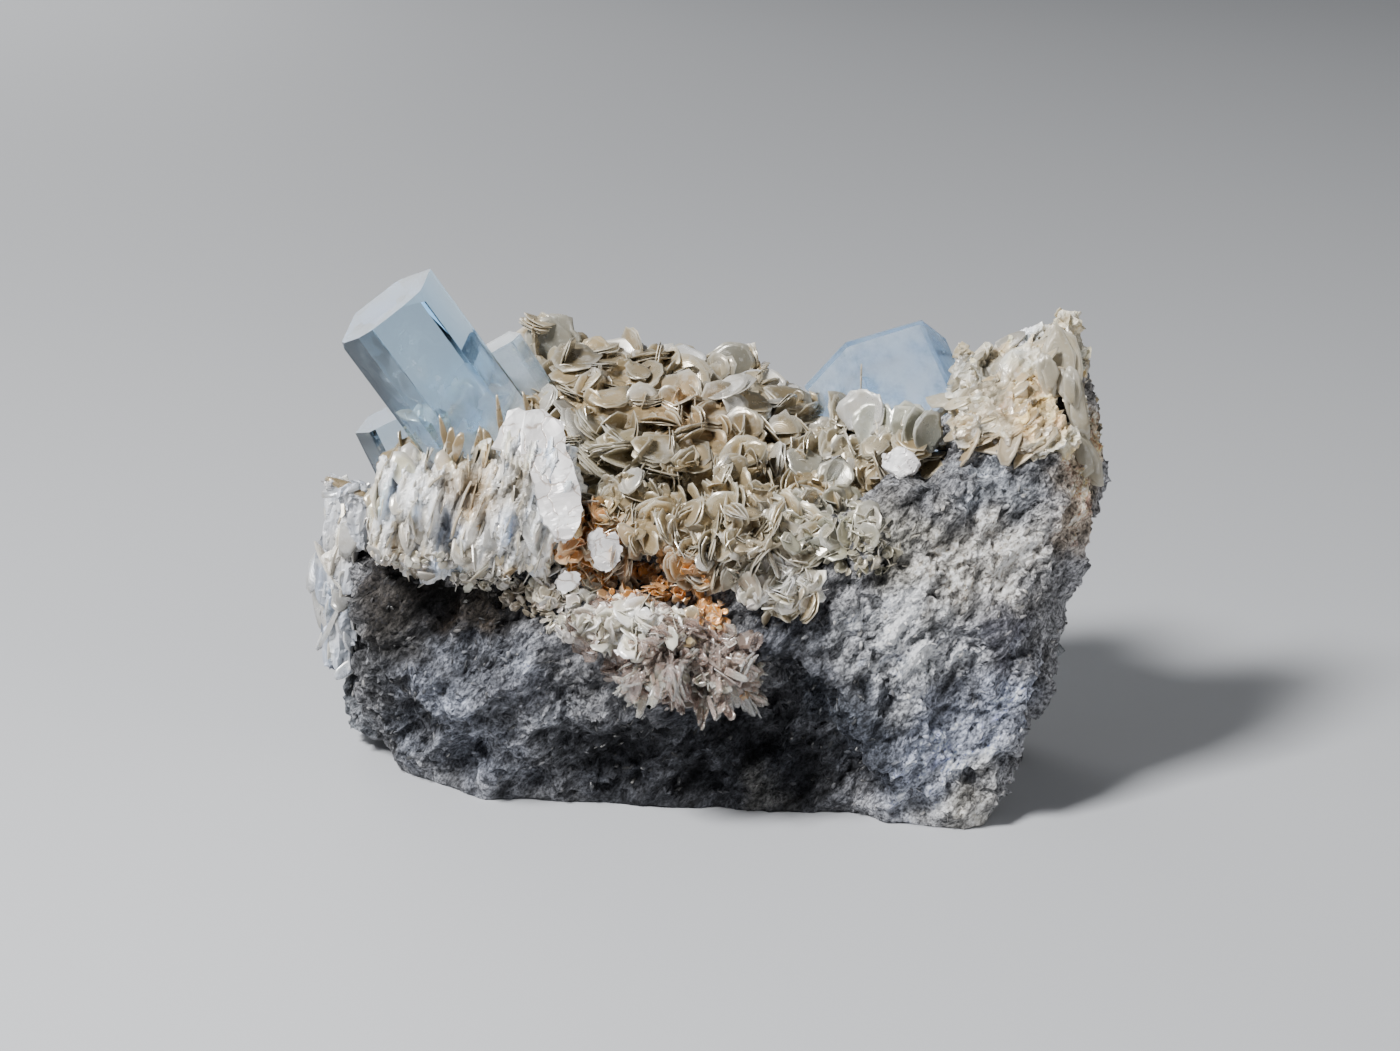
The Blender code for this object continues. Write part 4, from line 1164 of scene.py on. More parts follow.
def milk_finish(name, colour, low, high, size):
    """Patchy white cloud whose alpha is the milk attribute times a noise mask."""
    material, nodes, link = shader(name)
    surface = nodes["Principled BSDF"]
    cloud = cloud_mask(nodes, size, low, high, 0.7)
    link(worked(nodes, link, "MULTIPLY", cloud, stored(nodes, "milk")), surface.inputs["Alpha"])
    tone = blended(nodes, link, colour, (0.93, 0.96, 1.0, 1), cloud)
    link(tone, surface.inputs["Base Color"])
    link(tone, surface.inputs["Emission Color"])
    set_inputs(surface, {"Emission Strength": MILK_GLOW, "Roughness": 0.7})
    link(bumped(nodes, link, cloud, 0.1 * MM, 0.4), surface.inputs["Normal"])
    return material


FROSTED_HIGHLIGHT = edge_highlight_finish("worn_edge_highlight")
MILK = milk_finish("beryl_milk", (0.80, 0.89, 0.97, 1), 0.12, 0.60, 150.0)
WISP = milk_finish("beryl_wisps", (0.80, 0.88, 0.96, 1), 0.42, 0.85, 320.0)
print("finishes in the beryls:", ", ".join(finish.name for finish in (FROSTED_HIGHLIGHT, MILK, WISP)))

# %% Clear shells


def crystal(node_name, slot, finish_name, density, worn, depth):
    """A prism's clear shell, with flats on its edges. It returns its milky skin and its direction."""
    axis = long_axis(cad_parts[node_name].data)
    flats = {"width": worn * MM, "segments": 2, "limit_method": "ANGLE", "angle_limit": 0.25}
    shell = copied(node_name, ("BEVEL", {**flats, "material": 1}))
    finish = glass_finish(finish_name, axis, density)
    piece(node_name + "_shell", shell, [finish, FROSTED_HIGHLIGHT], slot, node_name)
    return milk_mesh(node_name, axis, depth * MM), axis

# %% Veils


def add_veils(beryl, points, axis, count):
    """Curved sheets, the golden angle apart and one above another, which fade out all round."""
    middle = Vector(points.mean(axis=0))
    tall = (points @ np.array(axis)).max() - middle.dot(axis)
    for i in range(count):
        facing = Matrix.Rotation(GOLDEN * i + 0.4, 3, axis) @ axis.orthogonal().normalized()
        centre = middle + axis * tall * (0.15 + 0.12 * i) + facing * 1.5 * MM
        across = np.array(axis.cross(facing))
        wide = 0.55 * np.ptp(points @ across)
        veil = veil_mesh(f"{beryl}_veil_{i}", centre, axis, facing, wide, tall, i)
        spots = points_of(veil) - np.array(centre)
        reach = np.maximum(np.abs(spots @ across) / wide, np.abs(spots @ np.array(axis)) / tall)
        fade(veil, 0.8 - 1.6 * reach)
        piece(f"{beryl}_veil_{i}", veil, [WISP], "beryl")

# %% Beryls
BERYL_LOOKS = {
    # milk at the root and at the tip, absorption per metre, number of veils
    "main_aquamarine": (1.7, -0.9, 56, 4),
    "second_aquamarine": (1.2, 0.2, 55, 2),
    "small_left_aquamarine": (0.9, -0.1, 60, 2),
    "big_right_aquamarine": (1.1, 0.5, 60, 2),
}
BERYL_WORN = 0.28  # width in mm of the frosted flats on the edges
MILK_DEPTH = 0.7  # how far in mm the milk lies below the faces
for beryl, (root_milk, tip_milk, density, veils) in BERYL_LOOKS.items():
    milk, axis = crystal(beryl, "beryl", beryl + "_beryl", density, BERYL_WORN, MILK_DEPTH)
    points = points_of(milk)
    fade(milk, root_milk + (tip_milk - root_milk) * along(points, axis))
    piece(beryl + "_milk", milk, [MILK], "beryl")
    add_veils(beryl, points, axis, veils)

# %% [markdown]
# Two small crystals of cloudy quartz stand by the prisms. They are made as the beryls are, but almost
# without colour, with finer edges, and with a cloud that is densest at the root.

# %% Quartz
QUARTZ_WORN = 0.1  # width in mm of the frosted flats
CLOUD_DEPTH = 0.3  # how far in mm the cloud lies below the faces
QUARTZ_DENSITY = 0.5  # absorption per metre
for quartz in ("valley_quartz", "rear_quartz"):
    cloudy, axis = crystal(quartz, "quartz", quartz + "_glass", QUARTZ_DENSITY, QUARTZ_WORN, CLOUD_DEPTH)
    fade(cloudy, 1.1 - 0.9 * along(points_of(cloudy), axis))
    piece(quartz + "_cloud", cloudy, [WISP], "quartz")

# %% [markdown]
# ## Weathered books
#
# Where a book of mica is thick, its plates are pressed into one waxy lump: fluted along the plates,
# uneven along their edges, and coloured by what seeped in. It could be stacked from plates only, but then
# it would be loose and full of gaps. So the lump starts from its plain solid, and its noise is stretched
# along the plates: each cluster has its own three directions, across the plates and two in them. It is
# shaded in small flat facets, because smooth shading would make it look poured. Loose leaves stand out of
# it, and their edges make its crisp lines.

# %% Weathered lumps


def lump_mesh(node_name, face, smooth, axes, terms, shrink):
    """The solid's even copy, drawn in by the shrink and moved by the noises. All in mm."""
    mesh = even_copy(node_name, face, smooth)
    points = points_of(mesh)
    local = points @ axes.T / MM
    push = pushed(local, terms)
    put_points(mesh, points + normals_of(mesh) * ((push - shrink) * MM)[:, None])
    mesh.shade_flat()
    return mesh, local, push


def lump_tints(local, push, points, base, patches, seed, depth=0.35):
    """Patch colours, streaked along the plates, with painted shade in the hollows and painted light on the
    crests.
    """
    streak = leaves(local, np.array((0.9, 4, 6)), seed)
    streak = streak + 0.6 * lumps(local, np.array((0.4, 2.5, 3)), seed + 1)
    # painted shade in the lump's hollows and painted light on its crests, as strong as the depth
    hollow_shade = np.clip(push - np.median(push), -1.2, 0.6)
    tints = zoned(points, base, 0.35, patches, 2.5, seed + 2)
    return tints * np.clip(1 + 0.45 * streak + depth * hollow_shade, 0.35, 1.5)[:, None]

# %% Layered finish


def layered_finish(name, axes, fine):
    """Waxy mica with fine lines along its plates and a pearly sheen."""
    material, nodes, link = shader(name)
    surface = nodes["Principled BSDF"]
    lined = fibres_group(name + " lines", axes, (1, 0.16, 0.1))
    steep = ranged(nodes, link, line_mask(nodes, lined, fine), 0.1, 0.9, 0.3, 0.7)
    pearl = cloud_mask(nodes, 380.0, 0.5, 0.62)
    broad = ranged(nodes, link, line_mask(nodes, lined, fine * 0.28), 1.0, 0.0, 0.40, 0.54)
    clear = worked(nodes, link, "MULTIPLY", broad, 0.6)
    streaked = blended(nodes, link, tint_of(nodes), (0.42, 0.46, 0.54, 1), clear, "MULTIPLY")
    streaked = blended(nodes, link, streaked, steep, 0.75, "OVERLAY")
    share = worked(nodes, link, "MULTIPLY", pearl, 0.35)
    link(blended(nodes, link, streaked, (0.97, 0.96, 0.93, 1), share), surface.inputs["Base Color"])
    link(ranged(nodes, link, pearl, 0.55, 0.3), surface.inputs["Roughness"])
    set_inputs(surface, {"Metallic": 0.2, "Coat Weight": 0.1, "Coat Roughness": 0.25})
    link(bumped(nodes, link, steep, 0.3 * MM, 0.8), surface.inputs["Normal"])
    return material

# %% Left books
BOOK_AXES = directions((1, -0.05, -0.25), (0.28, 0, 1))


def flutes(points, size, seed):
    """Rounded columns side by side along the first direction, with wandering grooves between them."""
    wander = 1.1 * lumps(points, size * np.array((2.0, 1.0, 1.0)), seed)
    share = np.abs((points[:, 0] / size[0] + wander) % 1 * 2 - 1)
    return np.sqrt(1 - 0.98 * share**2) - 0.7


BOOK_TERMS = (
    (flutes, (3.1, 8, 10), 0.4, 50), (lumps, (2.6, 7, 8), 1.0, 51), (leaves, (1.0, 5, 7), 1.5, 52),
    (leaves, (2.1, 3, 5), 1.0, 55), (ridges, (0.7, 3, 5), 0.25, 53), (chips, (1.0, 2, 3), 0.3, 54),
)
WHITE = np.array((0.74, 0.73, 0.70))
OCHRE = np.array((0.52, 0.36, 0.17))
BOOK_PATCHES = (  # centre in mm, radius in mm, colour, strength
    ((-48, -14, 50), 3.5, (0.44, 0.37, 0.24), 2.0), ((-46, -17, 44), 3.5, (0.62, 0.52, 0.36), 1.4),
    ((-42, -18, 51), 4, (0.86, 0.87, 0.88), 1.6), ((-38, -20, 45), 3.5, (0.30, 0.33, 0.39), 2.0),
    ((-40, -17, 52), 2.5, (0.62, 0.52, 0.36), 1.5), ((-33, -20, 50), 4.5, OCHRE, 1.7),
    ((-30, -22, 46), 3.5, (0.30, 0.32, 0.36), 2.0), ((-26.5, -22, 42), 4, (0.86, 0.85, 0.82), 1.8),
    ((-29, -23, 38), 3.5, OCHRE * 0.9, 1.8), ((-23, -24, 38), 4, (0.40, 0.32, 0.21), 1.3),
    ((-45, -19, 38), 4.5, (0.22, 0.17, 0.12), 2.0), ((-36, -22, 38), 3.5, (0.50, 0.44, 0.36), 1.4),
    ((-27, -20, 52), 4, (0.42, 0.39, 0.33), 1.5), ((-34, -16, 56), 4, (0.62, 0.52, 0.34), 1.4),
    ((-35, -21, 41), 3, (0.74, 0.72, 0.68), 1.3), ((-41, -19, 41), 3, (0.34, 0.35, 0.36), 1.3),
    ((-44, -17, 49), 2.5, (0.80, 0.80, 0.80), 1.4),
)
books_mesh, local, push = lump_mesh("left_mica_books", 0.34, 4, BOOK_AXES, BOOK_TERMS, 0.3)
book_tints = lump_tints(local, push, points_of(books_mesh), WHITE, BOOK_PATCHES, 60, 0.6)
seeped = leaves(local, np.array((1.5, 6, 8)), 65) + 0.6 * lumps(local, np.array((0.7, 2, 3.5)), 67)
paint(books_mesh, book_tints * (1 + seeped[:, None] * np.array((0.20, 0.06, -0.18))))
piece("left_books", books_mesh, [layered_finish("waxy_mica", BOOK_AXES, 700.0)], "mica", "left_mica_books")

# %% [markdown]
# The loose leaves are laid in layers, each with its own look: a grain to follow, patches of colour and a
# base colour. Most stand upright with their edges to the front, some lie flat, and a few face the front.
# Along the lower edge of the books none stand upright, since they would hang there like a fringe.

# %% Leaves on the books


def lay_plates(
    plates, mesh, grain, patches, base, count, spacing, sizes, longer, thick, facing=None, inside=None
):
    """Plates half sunk in a mesh: flat on it, or all facing one way. Their long side follows the grain."""
    chance = plates.chance
    for point, normal in spots_on(mesh, count, spacing, chance, inside):
        faced = Vector(normal if facing is None else facing) + nudge(chance, 0.18)
        rise = Vector(grain) + nudge(chance, 0.3)
        wide = chance.uniform(*sizes)
        tall = wide * chance.uniform(*longer)
        tint = zoned(point[None] * MM, base, 0.35, patches, 2.5, 97)[0] * chance.uniform(0.65, 1.35)
        tint = tint * (1 - np.array((0.0, 0.35, 1.0)) * chance.uniform(-0.05, 0.3))
        where = Vector(point) - normal * (0.1 if facing is None else wide * 0.22)
        bend = chance.uniform(-0.08, 0.04)
        plates.add(where, faced, rise, wide, tall, chance.uniform(*thick), bend, tint, tint * 1.25)

# %% Where the leaves lie


def off_the_face(point):
    """False where the white cleavage face lies."""
    return point[0] < -32 or point[2] < 56 - 1.6 * (point[0] + 31)


def above_the_hem(point):
    """False along the lower edge of the books too, where upright plates would hang like a fringe."""
    return off_the_face(point) and point[2] > 43.5 - 0.37 * (point[0] + 42)


def low_or_behind(point):
    """Where the plates lie flat."""
    return off_the_face(point) and (point[2] < 46 or point[1] > -10)


def on_the_front(point):
    """Where the plates face the front."""
    return above_the_hem(point) and point[1] < -12


book_flakes = Plates(21, sides=10, cuts=3)
BOOK_LAYERS = (
    # base colour, number, spacing and widths in mm, lengths in widths, thicknesses in mm, facing, where
    (WHITE, 80, 1.9, (1.2, 3.4), (0.9, 2.0), (0.12, 0.2), None, low_or_behind),
    (WHITE, 110, 1.8, (1.8, 4.2), (1.2, 2.2), (0.15, 0.5), BOOK_AXES[0], above_the_hem),
    (WHITE * 1.1, 16, 4.2, (3.0, 4.8), (1.3, 2.0), (0.3, 0.6), (0.35, -0.85, 0.35), on_the_front),
)
for layer in BOOK_LAYERS:
    lay_plates(book_flakes, books_mesh, BOOK_AXES[2], BOOK_PATCHES, *layer)
plates_piece("left_book_flakes", book_flakes, PEARL, "mica", "left_mica_books")

# %% [markdown]
# One book has split and shows its flat cleavage face: a bright white sheet with fine cracks. Noise could
# only roughen the lump there. The sheet has a broken outline of its own, so it is drawn point by point,
# given a little thickness and made slightly uneven.

# %% White cleavage face
FACE_OUTLINE = (  # in mm, round the edge of the sheet
    (-29.2, -16.8, 61.6), (-24.1, -16.0, 61.4), (-21.3, -16.9, 59.6), (-20.6, -19.1, 56.3),
    (-19.1, -21.7, 52.6), (-18.3, -24.3, 48.9), (-19.0, -26.0, 46.5), (-20.2, -26.8, 45.4),
    (-22.0, -26.3, 45.3), (-23.7, -25.4, 47.3), (-24.9, -24.0, 49.6), (-25.1, -22.5, 52.1),
    (-26.0, -21.2, 54.3), (-28.0, -20.2, 55.9), (-31.3, -19.8, 56.8),
)
FACE_NORMAL = (0.15, -0.8, 0.6)
CRACK_BEND = 0.0014  # how far in metres a noise bends the straight cracks


def jolt(chance, reach):
    """A random vector of at most the reach in each direction."""
    return Vector([chance.uniform(-reach, reach) for _ in range(3)])


def sheet_mesh(name, outline, normal, thick, lift, seed, wave):
    """A closed sheet with a ragged edge and a slightly uneven face, lifted off its outline."""
    normal = Vector(normal).normalized()
    chance = random.Random(seed)
    edge = []
    for i, corner in enumerate(outline):
        after = Vector(outline[(i + 1) % len(outline)])
        for share in (0, 0.25, 0.5, 0.75):
            ragged = jolt(chance, 1) * 0.22
            edge.append((Vector(corner).lerp(after, share) + ragged + normal * lift) * MM)
    built = bmesh.new()
    front = built.faces.new([built.verts.new(point) for point in edge])
    made = bmesh.ops.extrude_face_region(built, geom=[front])
    lifted = [item for item in made["geom"] if isinstance(item, bmesh.types.BMVert)]
    bmesh.ops.translate(built, verts=lifted, vec=normal * thick * MM)
    bmesh.ops.triangulate(built, faces=built.faces)
    bmesh.ops.recalc_face_normals(built, faces=built.faces)
    for _ in range(3):
        long = [item for item in built.edges if item.calc_length() > 0.6 * MM]
        bmesh.ops.subdivide_edges(built, edges=long, cuts=1)
        bmesh.ops.triangulate(built, faces=built.faces)
    mesh = bpy.data.meshes.new(name)
    built.to_mesh(mesh)
    built.free()
    points = points_of(mesh)
    uneven = 0.45 * lumps(points, 4 * MM, seed) + 0.25 * chips(points, 2.5 * MM, seed + 1)
    put_points(mesh, points + np.array(normal) * (wave * uneven * MM)[:, None])
    mesh.shade_flat()
    return mesh

# %% White cleavage finish


def cleavage_finish():
    """Bright white sheet with hair cracks and faint steps."""
    material, nodes, link = shader("white_cleavage")
    surface = nodes["Principled BSDF"]
    place = object_place(nodes)
    bend = node(nodes, "ShaderNodeTexNoise", {"Scale": 500.0, "Detail": 3.0})
    moved = node(nodes, "ShaderNodeVectorMath", {1: (CRACK_BEND,) * 3}, operation="MULTIPLY_ADD")
    cells = node(nodes, "ShaderNodeTexVoronoi", {"Scale": 260.0}, feature="DISTANCE_TO_EDGE")
    link(place, bend.inputs["Vector"])
    link(bend.outputs["Color"], moved.inputs[0])
    link(place, moved.inputs[2])
    link(moved.outputs["Vector"], cells.inputs["Vector"])
    crack = ranged(nodes, link, cells.outputs["Distance"], 0.0, 1.0, 0.0, 0.035)
    some = cloud_mask(nodes, 200.0, 0.50, 0.62)
    shown = worked(nodes, link, "MAXIMUM", crack, some)
    tone = blended(nodes, link, (0.76, 0.73, 0.72, 1), (0.90, 0.89, 0.88, 1), some)
    colour = blended(nodes, link, (0.42, 0.34, 0.28, 1), tone, shown)
    link(colour, surface.inputs["Base Color"])
    link(ranged(nodes, link, some, 0.35, 0.6), surface.inputs["Roughness"])
    set_inputs(surface, {"Metallic": 0.2, "Coat Weight": 0.15, "Coat Roughness": 0.3})
    link(bumped(nodes, link, shown, 0.1 * MM, 0.5), surface.inputs["Normal"])
    return material


CLEAVAGE = cleavage_finish()
face_mesh = sheet_mesh("white_face", FACE_OUTLINE, FACE_NORMAL, 0.8, 0.5, 71, wave=0.7)
piece("white_face", face_mesh, [CLEAVAGE], "silver_mica")

# %% [markdown]
# Two thin ragged chips of the same white mica stick in the rusty hollow beside the books. Strewn plates
# are too round for them, so they are sheets with an outline of their own too.

# %% White chips
CHIPS = {  # the outlines in mm of two ragged flakes in the rusty hollow
    "white_chip_upper": (
        (-17.4, -24, 46.0), (-15.8, -24, 46.7), (-14.9, -24, 45.3), (-13.4, -24, 46.0), (-12.8, -24, 43.6),
        (-13.0, -24, 41.8), (-15.0, -24, 39.8), (-16.6, -24, 40.6), (-17.0, -24, 42.4), (-17.6, -24, 43.9),
    ),
    "white_chip_lower": (
        (-22.3, -24, 38.8), (-20.9, -24, 40.1), (-18.6, -24, 39.8), (-18.9, -24, 37.9), (-21.0, -24, 36.6),
        (-22.2, -24, 37.2),
    ),
}
CHIP_NORMAL = (0.1, -0.95, 0.3)
for seed, (name, outline) in enumerate(CHIPS.items()):
    chip_mesh = sheet_mesh(name, outline, CHIP_NORMAL, 0.25, 0.6, 77 + seed, wave=0.5)
    piece(name, chip_mesh, [CLEAVAGE], "silver_mica")

# %% [markdown]
# The left edge of the rock is covered by long blades of grey mica that stand upright, side by side. They
# are made as the books are: a fluted lump from the plain solid, and separate blades that stand out of it.

# %% Left edge blades
BLADE_AXES = directions((0.8, -0.6, 0), (0.1, 0.1, 1))
BLADE_TERMS = (
    (flutes, (2.6, 9, 14), 0.5, 80), (lumps, (2.2, 5, 12), 0.7, 81), (leaves, (1.1, 5, 9), 1.1, 82),
    (chips, (1.0, 3, 5), 0.5, 83),
)
BLADE_PATCHES = (
    ((-58, 0, 43), 4, (0.36, 0.29, 0.21), 1.3), ((-57, 2, 36), 5, (0.74, 0.68, 0.58), 0.9),
    ((-58, 4, 28), 4, (0.42, 0.48, 0.56), 1.2), ((-57, 5, 20), 5, (0.64, 0.68, 0.73), 1.0),
    ((-53, 8, 22), 4, (0.34, 0.37, 0.42), 0.9),
)
blades_mesh, local, push = lump_mesh("left_edge_blades", 0.5, 4, BLADE_AXES, BLADE_TERMS, 0.1)
BLADE_GREY = np.array((0.48, 0.50, 0.54))
paint(blades_mesh, lump_tints(local, push, points_of(blades_mesh), BLADE_GREY, BLADE_PATCHES, 84, 0.55))
PEARLY_BLADES = layered_finish("pearly_blades", BLADE_AXES, 500.0)
piece("edge_blades", blades_mesh, [PEARLY_BLADES], "mica", "left_edge_blades")

# %% Leaves on the edge


def clear_of_the_ends(point):
    """The middle heights, where upright plates don't stand past the lump's top or foot."""
    return 16 < point[2] < 42


edge_plates = Plates(26, sides=10, cuts=2)
EDGE_LAYERS = (  # as the books' layers: one flat on the lump, one upright, clear of its top and foot
    (BLADE_GREY * 1.4, 18, 3.6, (3.0, 4.6), (1.8, 3.0), (0.4, 0.8)),
    (BLADE_GREY * 1.5, 60, 2.2, (1.4, 2.6), (1.6, 2.8), (0.15, 0.4), BLADE_AXES[0], clear_of_the_ends),
)
for layer in EDGE_LAYERS:
    lay_plates(edge_plates, blades_mesh, BLADE_AXES[2], BLADE_PATCHES, *layer)
plates_piece("edge_blade_plates", edge_plates, PEARL, "mica", "left_edge_blades")

# %% [markdown]
# ## The ridge
#
# The right ridge carries thick glassy plates of yellowish and cream mica, laid nearly flat, with tall
# thin ones at its end. The lump comes from the plain solid, and separate plates stand out of it. The tall
# ones and the patches of colour are placed where the camera's lines meet the front, as on the rock.

# %% Ridge mica
RIDGE_AXES = directions((-0.5, -0.45, 0.8), (1, 0.1, 0.65))
RIDGE_TERMS = (
    (lumps, (2.4, 6, 8), 0.6, 91), (leaves, (1.0, 4.0, 5.0), 0.8, 92), (chips, (1.8, 3.0, 3.6), 0.8, 97),
    (chips, (0.8, 1.6, 2.4), 0.5, 93), (ridges, (0.7, 2.5, 3.5), 0.3, 99),
)
RIDGE_PATCHES = (
    ((42, -6, 62), 5, (0.80, 0.66, 0.44), 1.4), ((47, -4, 60), 5, (0.66, 0.45, 0.18), 2.4),
    ((52, 2, 64), 5, (0.56, 0.47, 0.33), 1.1), ((38, -12, 57), 4, (0.58, 0.46, 0.30), 1.0),
    ((40, 6, 64), 6, (0.58, 0.55, 0.46), 1.0), ((44, -14, 55), 4, (0.38, 0.28, 0.17), 1.1),
    ((52, -8, 57), 5, (0.48, 0.38, 0.24), 0.9), ((46, 4, 67), 4, (0.82, 0.82, 0.80), 1.1),
)
ridge_mesh, local, push = lump_mesh("ridge_mica", 0.45, 3, RIDGE_AXES, RIDGE_TERMS, 0.5)
ridge_zones = seen_zones(joined_tree(ridge_mesh), RIDGE_PATCHES)
ridge_tints = lump_tints(local, push, points_of(ridge_mesh), CREAM * 0.76, ridge_zones, 94, 0.8)
stained = leaves(local, np.array((1.2, 5, 6)), 98)
paint(ridge_mesh, ridge_tints * (1 + stained[:, None] * np.array((0.15, -0.05, -0.35))))
piece("ridge_lump", ridge_mesh, [layered_finish("glassy_mica", RIDGE_AXES, 600.0)], "mica", "ridge_mica")

# %% Ridge plates


def short_of_the_end(point):
    """Everywhere but at the right-hand end, where tall plates stand instead."""
    return point[0] < 49


ridge_plates = Plates(23, sides=10, cuts=3)
RIDGE_LAYERS = (  # as the books' layers: one of parallel plates and one flat on the lump
    (CREAM * 0.8, 80, 2.1, (2.0, 4.6), (1.4, 2.6), (0.15, 0.4), RIDGE_AXES[0], short_of_the_end),
    (CREAM * 0.8, 26, 2.4, (1.4, 3.0), (1.0, 1.8), (0.12, 0.25)),
)
for layer in RIDGE_LAYERS:
    lay_plates(ridge_plates, ridge_mesh, RIDGE_AXES[2], ridge_zones, *layer)

# %% Tall plates
TALL_PLATES = (  # x and z in mm of the middle, width, height, share of the cream colour
    (51.2, 65.0, 5.4, 12, 0.80), (50.0, 62.5, 3.4, 8, 0.60), (53.8, 57.5, 4.2, 10, 0.68),
    (55.6, 50.0, 3.4, 9, 0.60), (54.6, 53.0, 2.6, 7, 0.78), (52.2, 60.5, 2.8, 7, 0.70),
)
TALL_LEAVES = 3
TALL_RISE = (0.22, 0, -1)
TALL_FACING = (0.1, -1, 0.15)
tall_plates = Plates(24, sides=20, cuts=2)
chance = tall_plates.chance
end_tree = joined_tree(rock_mesh, ridge_mesh)
for x, z, wide, tall, share in TALL_PLATES:
    place, normal = seen_at(end_tree, (x, 0, z))
    facing = Vector(TALL_FACING) + (normal or -VIEW_LINE) * 0.6
    for i in range(TALL_LEAVES):
        where = place - VIEW_LINE * (0.2 + 0.35 * i) + nudge(chance, 0.35)
        tone = CREAM * share * chance.uniform(0.75, 1.1)
        size = (wide - 0.3 * i, tall - 0.8 * i, 0.3)
        tall_plates.add(where, facing, TALL_RISE, *size, -0.05, tone, CREAM * 0.9)
GLASSY = mica_finish("glassy_plates", 0.4, 0.05 * MM, 0.08, frost=0.2, pearl=0.1, sheen=0.35)
plates_piece("ridge_tall_plates", tall_plates, GLASSY, "mica", "ridge_mica")
plates_piece("ridge_plates", ridge_plates, GLASSY, "mica", "ridge_mica")

# %% [markdown]
# ## Single plates
#
# A few plates stand out for their size or their place: thick pale shells in the right-hand bowl, large
# grey and white ones at the top of the crust, and thin brown blades that lean on the crystals. Chance
# wouldn't put them there, so each has its own row in a list. Each wide one is a book of four leaves.

# %% Single plates
SHELL = np.array((0.62, 0.63, 0.55))
BLADE = np.array((0.40, 0.30, 0.17))
SINGLE_PLATES = (  # centre in mm, facing, rise, width, height, thickness, bend, colour
    ((23.2, 0, 56.6), (-0.5, -0.8, 0.25), (0.1, 0.2, 1), 8, 7.5, 0.6, 0.22, WHITE * 1.15),
    ((24.6, -1.8, 55.6), (-0.3, -0.85, 0.35), (0.3, 0.2, 1), 7, 7, 0.5, 0.25, SHELL),
    ((30.5, -5.5, 56.2), (0.55, -0.8, 0.2), (0.1, 0.2, 1), 6.5, 7, 0.6, 0.12, SHELL),
    ((29.0, -4.4, 56.6), (0.2, -0.9, 0.3), (-0.3, 0.2, 1), 6, 6.5, 0.5, 0.12, SHELL * 1.15),
    ((32.0, -7, 56.0), (0.55, -0.8, 0.2), (0.3, 0.2, 1), 5.5, 7, 0.5, 0.12, SHELL * 0.85),
    ((28.2, -4, 55.5), (-0.4, -0.9, 0.2), (-0.2, 0.2, 1), 5, 6.5, 0.5, 0.12, SHELL * 1.1),
    ((18.2, -9.5, 50.2), (-0.1, -0.8, 0.6), (0, 0.4, 1), 6, 5, 0.8, 0.1, GREYISH * 1.2),
    ((14.5, -6, 50.5), (0.3, -0.6, 0.8), (0.3, 0.4, 1), 7, 6, 0.8, 0.1, GREYISH * 1.1),
    ((-24.2, 20.5, 63.6), (0.15, -1, 0.25), (-0.2, 0.1, 1), 9.4, 8.0, 0.6, -0.05, GREYISH * 0.7),
    ((-17.6, 19.5, 61.2), (-0.5, -0.8, 0.4), (0.2, 0.3, 1), 6.5, 5.5, 0.6, 0.1, TAN),
    ((-13.5, 21.5, 61.5), (0, -0.8, 0.7), (0, 0.5, 1), 8.5, 4.5, 0.6, 0.06, WHITE * 1.4),
    ((-3.2, 21, 59.6), (0.2, -0.8, 0.7), (0.3, 0.5, 1), 6.5, 5.5, 0.6, 0.06, WHITE * 1.4),
    ((3.0, 24.5, 58.6), (0.1, -1, 0.3), (0.1, 0.1, 1), 8.2, 6.5, 0.6, -0.04, GREYISH * 0.75),
    ((8.8, 21, 56.2), (0.1, -0.8, 0.6), (0.5, 0.5, 1), 7, 5, 0.5, 0.1, WHITE * 1.3),
    ((13.5, 19, 54), (0.2, -0.8, 0.6), (0.5, 0.5, 1), 6, 4.5, 0.5, 0.1, WHITE * 1.2),
)

# %% Thin blades
BLADES = (  # the same, for narrow blades that lean on the crystals and stand in the crust
    ((-2.2, 0.5, 56.5), (1, -0.5, 0), (-0.05, -0.1, 1), 0.9, 6, 0.25, 0.0, BLADE * 1.3),
    ((-30.5, -12.6, 59.5), (0.3, -1, 0), (-0.12, 0, 1), 1.0, 9.0, 0.3, 0.0, BLADE * 1.1),
    ((-26.5, -9, 59.5), (0.6, -1, 0), (-0.3, 0, 1), 1.0, 8.0, 0.3, 0.0, BLADE * 1.1),
    ((-38.6, -14.5, 58.0), (0.2, -1, 0.1), (-0.25, 0, 1), 1.2, 7.0, 0.3, 0.0, BLADE),
    ((-37.5, -15.2, 56.6), (0.2, -1, 0.1), (0.1, 0, 1), 1.6, 6.0, 0.3, 0.0, BLADE * 0.9),
    ((-36.4, -15.4, 56.2), (0.2, -1, 0.1), (0.3, 0, 1), 1.8, 5.0, 0.35, 0.0, BLADE * 1.2),
    ((-32, -14.6, 56.5), (0.4, -1, 0.1), (-0.3, 0, 1), 1.5, 6.2, 0.3, 0.0, BLADE * 1.2),
    ((-33.5, -15, 56.4), (0.2, -1, 0.1), (0.15, 0, 1), 1.4, 6.0, 0.3, 0.0, BLADE * 0.9),
    ((-54, -3, 46.4), (0.1, -0.8, 0.6), (1, -0.2, -0.4), 1.8, 8.0, 0.9, 0.0, BLADE * 0.9),
    ((22.5, 3, 62), (1, -0.4, 0), (0.05, 0, 1), 0.6, 4.5, 0.25, 0.0, BLADE * 1.5),
)

